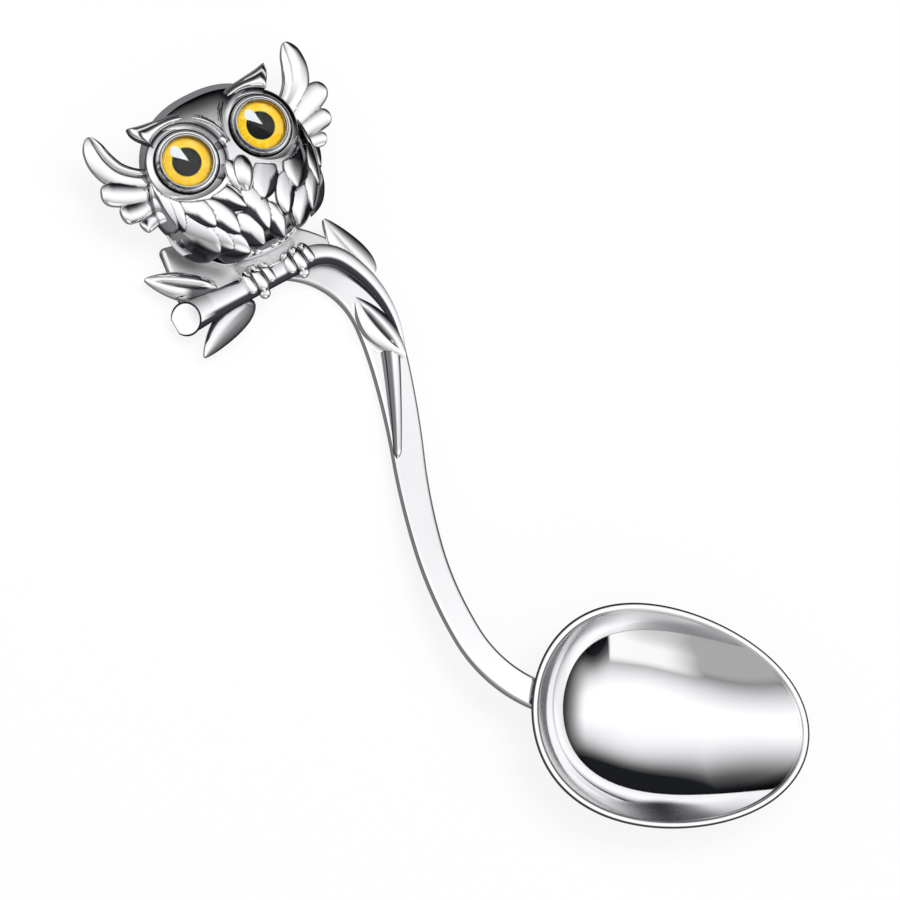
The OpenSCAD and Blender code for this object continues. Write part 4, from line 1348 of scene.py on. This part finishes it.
# radius and height of the setting's turned profile, from its foot to the bore's floor
BEZEL_PROFILE = (
    (5.4, 0.0), (5.65, 0.25), (5.65, 1.75), (5.63, 1.9), (5.57, 2.0), (5.46, 2.08), (5.3, 2.17), (5.05, 2.3),
    (4.82, 2.41), (4.72, 2.44), (4.66, 2.32), (4.62, 2.16), (4.57, 2.12), (4.52, 2.2), (4.47, 2.5), (4.4, 2.8),
    (4.3, 2.94), (4.15, 3.0), (4.02, 2.99), (3.95, 2.93), (3.91, 2.92), (3.88, 3.0), (3.82, 3.2), (3.74, 3.3),
    (3.66, 3.3), (3.6, 3.2), (3.5, 2.8), (3.5, 1.82),
)
# radius, half width and darkness of the painted dark lines of shade round the setting, in its grooves and round its
# foot
BEZEL_LINES = ((5.68, 0.07, 0.8), (4.6, 0.07, 0.95), (3.93, 0.03, 0.7), (3.5, 0.07, 0.85))
# radius and angle in radians of the setting's painted dark hollow, a painted dark reflection at its lower left
HOLLOW_R, HOLLOW_AT = 4.3, 3.5
IRIS_T, PUPIL_T = 0.4, 0.1
# radius and angle round the eye of each corner of the white glint, a painted highlight
GLINT = ((0.3, 0), (2.0, 88), (2.6, 95), (2.85, 104), (2.8, 116), (2.5, 126), (2.0, 132))


class OWLSPOON_OT_eyes(bpy.types.Operator):
    """Builds the turned settings, the enamel discs and the glass domes of both eyes"""

    bl_idname = "owlspoon.eyes"
    bl_label = "Eyes"

    def execute(self, context):
        pupil_r = context.scene.owlspoon_sizes.pupil_d / 2
        kinds = material_set(context)
        floor = EYE_BORE_TOP - EYE_BORE_DEEP
        enamel = floor + IRIS_T
        for name, side in (("left", -1), ("right", 1)):
            rings = [eye_ring(side, r, h) for r, h in self.smooth(BEZEL_PROFILE)]
            silver_piece(context, name + "_eye_setting", name + "_eye_bezel", skin(rings),
                         self.dark_rings(side), 0.0, 50)

            iris = self.disc(side, name + "_iris_enamel", GLASS_R, floor, IRIS_T, kinds["Iris enamel"])
            finish_piece(iris, name + "_iris")
            pupil = self.disc(side, name + "_pupil_disc", pupil_r, enamel, PUPIL_T, kinds["Pupil black"])
            self.glint(pupil, side, floor + 0.5)
            finish_piece(pupil, name + "_pupil")
            dome = new_object(name + "_glass_dome", *self.dome(side, enamel), kinds["Eye glass"])
            finish_piece(dome, name + "_eye_glass", sharp=40, weighted=False)
        return {"FINISHED"}

    def dark_rings(self, side):
        """Painted darkness of the setting: painted shade in its grooves and round its foot, and a painted dark
        reflection in its hollow at the lower left.
        """
        middle, across, up, axis = eye_axes(side)

        def shade(x, y, z):
            out = Vector((x, y, z)) - middle
            r = (out - axis * out.dot(axis)).length
            angle = math.atan2(out.dot(up), out.dot(across))
            lines = [full * ease(2 - abs(r - at) / half) for at, half, full in BEZEL_LINES]
            grain = 0.75 + 0.5 * noise.noise(Vector((x, y, z)) * 2.5)
            lines.append(grain * ease(1.6 * math.cos(angle - HOLLOW_AT) - 0.4) * ease(3 - abs(r - HOLLOW_R) / 0.2))
            return max(lines)
        return shade

    def smooth(self, profile):
        """The profile with two more points in each span; its first two spans and its last stay straight."""
        made = [profile[0]]
        for i in range(len(profile) - 1):
            for t in (1 / 3, 2 / 3, 1):
                if i in (0, 1, len(profile) - 2):
                    made.append(tuple(Vector(profile[i]).lerp(Vector(profile[i + 1]), t)))
                else:
                    made.append(tuple(curve_at(profile, i, t)))
        return made

    def disc(self, side, name, r, base, t, material):
        """A flat disc whose map puts its middle at the map's middle."""
        steps = (r, r * 0.97, r * 0.75, r * 0.5, r * 0.25, 0.02)
        rings = [eye_ring(side, r, base, 96), eye_ring(side, r, base + t * 0.8, 96)]
        rings += [eye_ring(side, q - (0.02 if q == r else 0), base + t, 96) for q in steps]
        piece = new_object(name, *skin(rings), material)
        self.map_disc(piece, side, r)
        return piece

    def map_disc(self, piece, side, r):
        layer = piece.data.uv_layers.new(name="disc")
        middle, across, up, axis = eye_axes(side)
        for loop in piece.data.loops:
            out = piece.data.vertices[loop.vertex_index].co / MM - middle
            layer.data[loop.index].uv = (0.5 + out.dot(across) / (2 * r), 0.5 + out.dot(up) / (2 * r))

    def glint(self, pupil, side, height):
        """A painted highlight: a wedge of white that points from the iris to the pupil's middle."""
        rings = [[eye_point(side, r * cosd(a), r * sind(a), h) for r, a in GLINT]
                 for h in (height - 0.1, height + 0.012)]
        wedge = new_object("glint", *skin(rings), bpy.data.materials["Glint enamel"])
        self.map_disc(wedge, side, 2.0)
        unite(pupil, wedge)

    def dome(self, side, base):
        """A round glass dome on a short straight wall."""
        r, rise, wall, steps = GLASS_R, 0.8, 1.2, 24
        ball = (r * r + rise * rise) / (2 * rise)
        rings = [eye_ring(side, r - 0.02, base + 0.12, 96), eye_ring(side, r, base + 0.16, 96),
                 eye_ring(side, r, base + wall - 0.04, 96)]
        for i in range(1, steps + 1):
            q = r * cosd(90 * i / steps) ** 0.9 if i < steps else 0.02
            q = min(q, r - 0.03)
            rings.append(eye_ring(side, q, base + wall + rise - ball + math.sqrt(ball * ball - q * q), 96))
        return skin(rings)


class OWLSPOON_OT_feet(bpy.types.Operator):
    """Builds three plump toes of each foot, bent over the branch"""

    bl_idname = "owlspoon.feet"
    bl_label = "Feet"

    # each toe's place beside the middle one, the angle that it reaches over the branch, and its fullness
    toes = ((-1.5, 128, 0.92), (0, 176, 1.12), (1.5, 120, 0.88))
    steps, toe_r, off_branch, root_angle = 60, 0.74, 0.42, 20

    def execute(self, context):
        silver = material_set(context)["Cast silver"]
        for name, out in (("left_foot", -3.4), ("right_foot", 3.2)):
            toes = [self.toe(f"{name}_toe_{i}", out, *toe, silver) for i, toe in enumerate(self.toes)]
            foot = toes[0]
            unite(foot, *toes[1:])
            foot.name = name + "_silver"
            move_points(foot, owl_point)
            mark_painted_shade(foot, 0.0, 0.4)
            finish_piece(foot, name, sharp=70)
        return {"FINISHED"}

    def toe(self, name, out, shift, reach, swell, silver):
        """A plump toe bent over the branch, pinched before its tip if it is the middle one."""
        s = out - BRANCH_START
        off = branch_radius(s) + self.off_branch
        line, radii = [], []
        for j in range(self.steps + 1):
            k = j / self.steps
            a = blend(self.root_angle, reach, k)
            pinch = 1 - (0.3 if shift == 0 else 0.0) * mound(k, 0.72, 0.06)
            tip = round_tip(k, 0.84, 0.16, 0.01)
            radii.append(self.toe_r * swell * pinch * tip * blend(0.8, 1, ease(k / 0.35)))
            line.append((out + shift * (1 + 0.1 * k), off * cosd(a), branch_z(s) + off * sind(a)))
        return rod_object(name, line, radii, 28, silver)


# ---------------------------------------------------------------- painted shade in the recesses

class OWLSPOON_OT_painted_shade(bpy.types.Operator):
    """Paints shade into the recesses of the cast pieces, by how closely their neighbours stand round each point"""

    bl_idname = "owlspoon.patina"
    bl_label = "Patina"

    # how far neighbours count in millimetres, rays from each point, the shade below which silver stays bright,
    # how fast the painted shade darkens it, how much later the owl's body darkens, and how dark the eye settings
    # are painted
    reach, rays, least, gain, body_later, setting_share = 1.4, 20, 0.21, 1.9, 0.05, 0.6
    off_skin, golden_turn, widest_ray = 0.03, 2.399963, 0.96

    def execute(self, context):
        pieces = [p for p in bpy.data.objects if p.type == "MESH" and "recess" in p.data.attributes
                  and p.name != "spoon_bowl"]
        if not pieces:
            self.report({"ERROR"}, "Build the cast pieces first")
            return {"CANCELLED"}
        points, faces = join([
            ([v.co.copy() for v in p.data.vertices], [tuple(f.vertices) for f in p.data.polygons])
            for p in pieces
        ])
        tree = BVHTree.FromPolygons(points, faces)
        fan = self.fan()
        for piece in pieces:
            self.darken(piece, tree, fan)
        return {"FINISHED"}

    def fan(self):
        """Rays spread evenly over the half space above a point."""
        fan = []
        for i in range(self.rays):
            up = math.sqrt(1 - (i + 0.5) / self.rays * self.widest_ray)
            turn = i * self.golden_turn
            out = math.sqrt(1 - up * up)
            fan.append(Vector((out * math.cos(turn), out * math.sin(turn), up)))
        return fan

    def darken(self, piece, tree, fan):
        """Paints shade on hidden points that don't face down, and spares the foot of the owl's body."""
        body = piece.name.startswith("owl_body")
        full = self.setting_share if "setting" in piece.name else 1.0
        least = self.least + (self.body_later if body else 0.0)
        reach = self.reach * MM
        values = [0.0] * len(piece.data.vertices)
        piece.data.attributes["recess"].data.foreach_get("value", values)
        for i, vertex in enumerate(piece.data.vertices):
            normal = vertex.normal
            turn = Vector((0, 0, 1)).rotation_difference(normal)
            start = vertex.co + normal * self.off_skin * MM
            hidden = 0.0
            for ray in fan:
                place, _, _, away = tree.ray_cast(start, turn @ ray, reach)
                if place is not None:
                    hidden += 1 - away / reach
            shade = full * clamp((hidden / self.rays - least) * self.gain) * ease(1 + normal.z * 4)
            if body:
                shade *= max(ease((vertex.co.z / MM - OWL_BACK - 2.2) / 1.6), ease((normal.z - 0.15) / 0.35))
            values[i] = max(values[i], shade)
        piece.data.attributes["recess"].data.foreach_set("value", values)


# ---------------------------------------------------------------- stage

FLOOR_HALF, FLOOR_Z = 1500, -0.02
LAMP_PLACE, LAMP_SIZE, LAMP_W = (-120, 180, 620), (420, 300), 2.2
# brightness of the long softbox by the distance from its middle line, between its bright and its dark end
SOFTBOX = ((0.25, 1.0), (0.35, 0.9), (0.45, 0.78), (0.55, 0.63), (0.65, 0.45), (0.75, 0.27), (0.85, 0.11))


class OWLSPOON_OT_stage(bpy.types.Operator):
    """Makes the pale floor, the soft light and the camera"""

    bl_idname = "owlspoon.stage"
    bl_label = "Stage"

    def execute(self, context):
        scene = context.scene
        scene.view_settings.view_transform = "Standard"
        corners = [(x * FLOOR_HALF, y * FLOOR_HALF, FLOOR_Z) for x, y in ((-1, -1), (1, -1), (1, 1), (-1, 1))]
        floor = new_object("floor", corners, [(0, 1, 2, 3)], floor_material(scene.owlspoon_finish))
        self.world(scene)
        self.lamp(scene)
        self.camera(scene)
        return {"FINISHED"}

    def world(self, scene):
        """A studio of two softboxes, white where the camera sees it and dark at the horizon."""
        world = bpy.data.worlds.new("Studio")
        world.use_nodes = True
        tree = world.node_tree
        way = add(tree, "ShaderNodeTexCoord").outputs["Generated"]
        # the studio's own axes are the picture's: x to its right and y up
        turned = add(tree, "ShaderNodeMapping", {"Vector": way, "Rotation": (0, 0, math.radians(-VIEW_TURN))})
        x, y, z = add(tree, "ShaderNodeSeparateXYZ", {0: turned.outputs[0]}).outputs

        # a long softbox overhead: brightness falls with the distance from its middle line
        far = calc(tree, "MULTIPLY_ADD", calc(tree, "MAXIMUM", x, 0.0), 1.2, 1.0)
        near = calc(tree, "MULTIPLY_ADD", spread(tree, x, 0.5, 0.8), 0.6, 1.1)
        off = calc(tree, "MAXIMUM", calc(tree, "MULTIPLY", y, far),
                   calc(tree, "MULTIPLY", calc(tree, "MULTIPLY", y, near), -1.0))
        glow = add(tree, "ShaderNodeValToRGB", {"Fac": off})
        bright, dark = glow.color_ramp.elements
        bright.position, bright.color = 0.16, (1.08, 1.08, 1.09, 1)
        dark.position, dark.color = 0.97, (0.012, 0.013, 0.015, 1)
        for place, value in SOFTBOX:
            glow.color_ramp.elements.new(place).color = (value, value, value * 1.02, 1)
        ends = calc(tree, "MULTIPLY", spread(tree, x, 1.0, 0.74, 0.06, 1.0), spread(tree, x, -1.0, -0.9, 0.06, 1.0))
        low = calc(tree, "MULTIPLY", ends, spread(tree, z, 0.05, 0.32, 0.06, 1.0))
        dimmed = add(tree, "ShaderNodeVectorMath", {0: glow.outputs["Color"], "Scale": low}, operation="SCALE")

        # a second, lower softbox on the near side, with a sharp right edge and a soft skirt to its left
        skirt = calc(tree, "MULTIPLY", spread(tree, x, 0.56, 0.5), spread(tree, y, -0.5, -0.78, 0.0, 0.42))
        wide = calc(tree, "MULTIPLY", spread(tree, x, -0.38, 0.12), spread(tree, x, 0.58, 0.54))
        tall = calc(tree, "MULTIPLY", spread(tree, y, -0.42, -0.7), spread(tree, y, -1.0, -0.86, 0.6, 1.0))
        front = calc(tree, "MAXIMUM", skirt, calc(tree, "MULTIPLY", wide, tall))
        lit = mixed(tree, 1.0, dimmed.outputs[0], front, "LIGHTEN")
        seen = add(tree, "ShaderNodeLightPath").outputs["Is Camera Ray"]
        tree.links.new(mixed(tree, seen, lit, WHITE), tree.nodes["Background"].inputs["Color"])
        scene.world = world

    def lamp(self, scene):
        lamp = bpy.data.lights.new("Overhead softbox", "AREA")
        lamp.shape = "RECTANGLE"
        lamp.size, lamp.size_y = LAMP_SIZE[0] * MM, LAMP_SIZE[1] * MM
        lamp.energy = LAMP_W
        made = bpy.data.objects.new(lamp.name, lamp)
        made.location = Vector(LAMP_PLACE) * MM
        made.rotation_mode = "QUATERNION"
        aim = Vector(VIEW_AIM) * MM - made.location
        made.rotation_quaternion = aim.to_track_quat("-Z", "Y")
        made.visible_glossy = False
        scene.collection.objects.link(made)

    def camera(self, scene):
        """A camera where the photo's stood."""
        turn = Matrix.Rotation(math.radians(VIEW_TURN), 3, "Z")
        heading = turn @ Vector((cosd(VIEW_HEADING), sind(VIEW_HEADING), 0))
        back = -sind(VIEW_LEAN) * heading + Vector((0, 0, cosd(VIEW_LEAN)))
        lean = Vector((0, 0, 1)).rotation_difference(back)
        right, up = lean @ (turn @ Vector((1, 0, 0))), lean @ (turn @ Vector((0, 1, 0)))
        camera = bpy.data.cameras.new("Camera")
        camera.sensor_width = SENSOR
        camera.lens = SENSOR * VIEW_PX * VIEW_DISTANCE / VIEW_SIDE
        made = bpy.data.objects.new("Camera", camera)
        made.matrix_world = Matrix((right, up, back)).transposed().to_4x4()
        made.location = (Vector(VIEW_AIM) + back * VIEW_DISTANCE) * MM
        camera.clip_start, camera.clip_end = 0.01, 10
        scene.collection.objects.link(made)
        scene.camera = made


class OWLSPOON_PT_panel(bpy.types.Panel):
    """Lists the spoon's steps in the sidebar"""

    bl_idname = "OWLSPOON_PT_panel"
    bl_label = "Owl Spoon"
    bl_space_type = "VIEW_3D"
    bl_region_type = "UI"
    bl_category = "Owl Spoon"

    def draw(self, context):
        for step in STEPS:
            self.layout.operator(step.bl_idname)
        for group in (context.scene.owlspoon_sizes, context.scene.owlspoon_finish):
            box = self.layout.box()
            for key in group.__annotations__:
                box.prop(group, key)


STEPS = (
    OWLSPOON_OT_bowl, OWLSPOON_OT_strip, OWLSPOON_OT_branch, OWLSPOON_OT_leaves, OWLSPOON_OT_owl_body,
    OWLSPOON_OT_wings, OWLSPOON_OT_brows, OWLSPOON_OT_beak, OWLSPOON_OT_eyes, OWLSPOON_OT_feet,
    OWLSPOON_OT_painted_shade, OWLSPOON_OT_stage,
)
CLASSES = (OWLSPOON_PG_sizes, OWLSPOON_PG_finish, *STEPS, OWLSPOON_PT_panel)


def register():
    for kind in CLASSES:
        bpy.utils.register_class(kind)
    bpy.types.Scene.owlspoon_sizes = bpy.props.PointerProperty(type=OWLSPOON_PG_sizes)
    bpy.types.Scene.owlspoon_finish = bpy.props.PointerProperty(type=OWLSPOON_PG_finish)


def unregister():
    del bpy.types.Scene.owlspoon_finish
    del bpy.types.Scene.owlspoon_sizes
    for kind in reversed(CLASSES):
        bpy.utils.unregister_class(kind)


def main():
    register()
    bpy.ops.object.select_all(action="DESELECT")
    for step in STEPS:
        group, name = step.bl_idname.split(".")
        getattr(getattr(bpy.ops, group), name)()


if __name__ == "__main__":
    main()
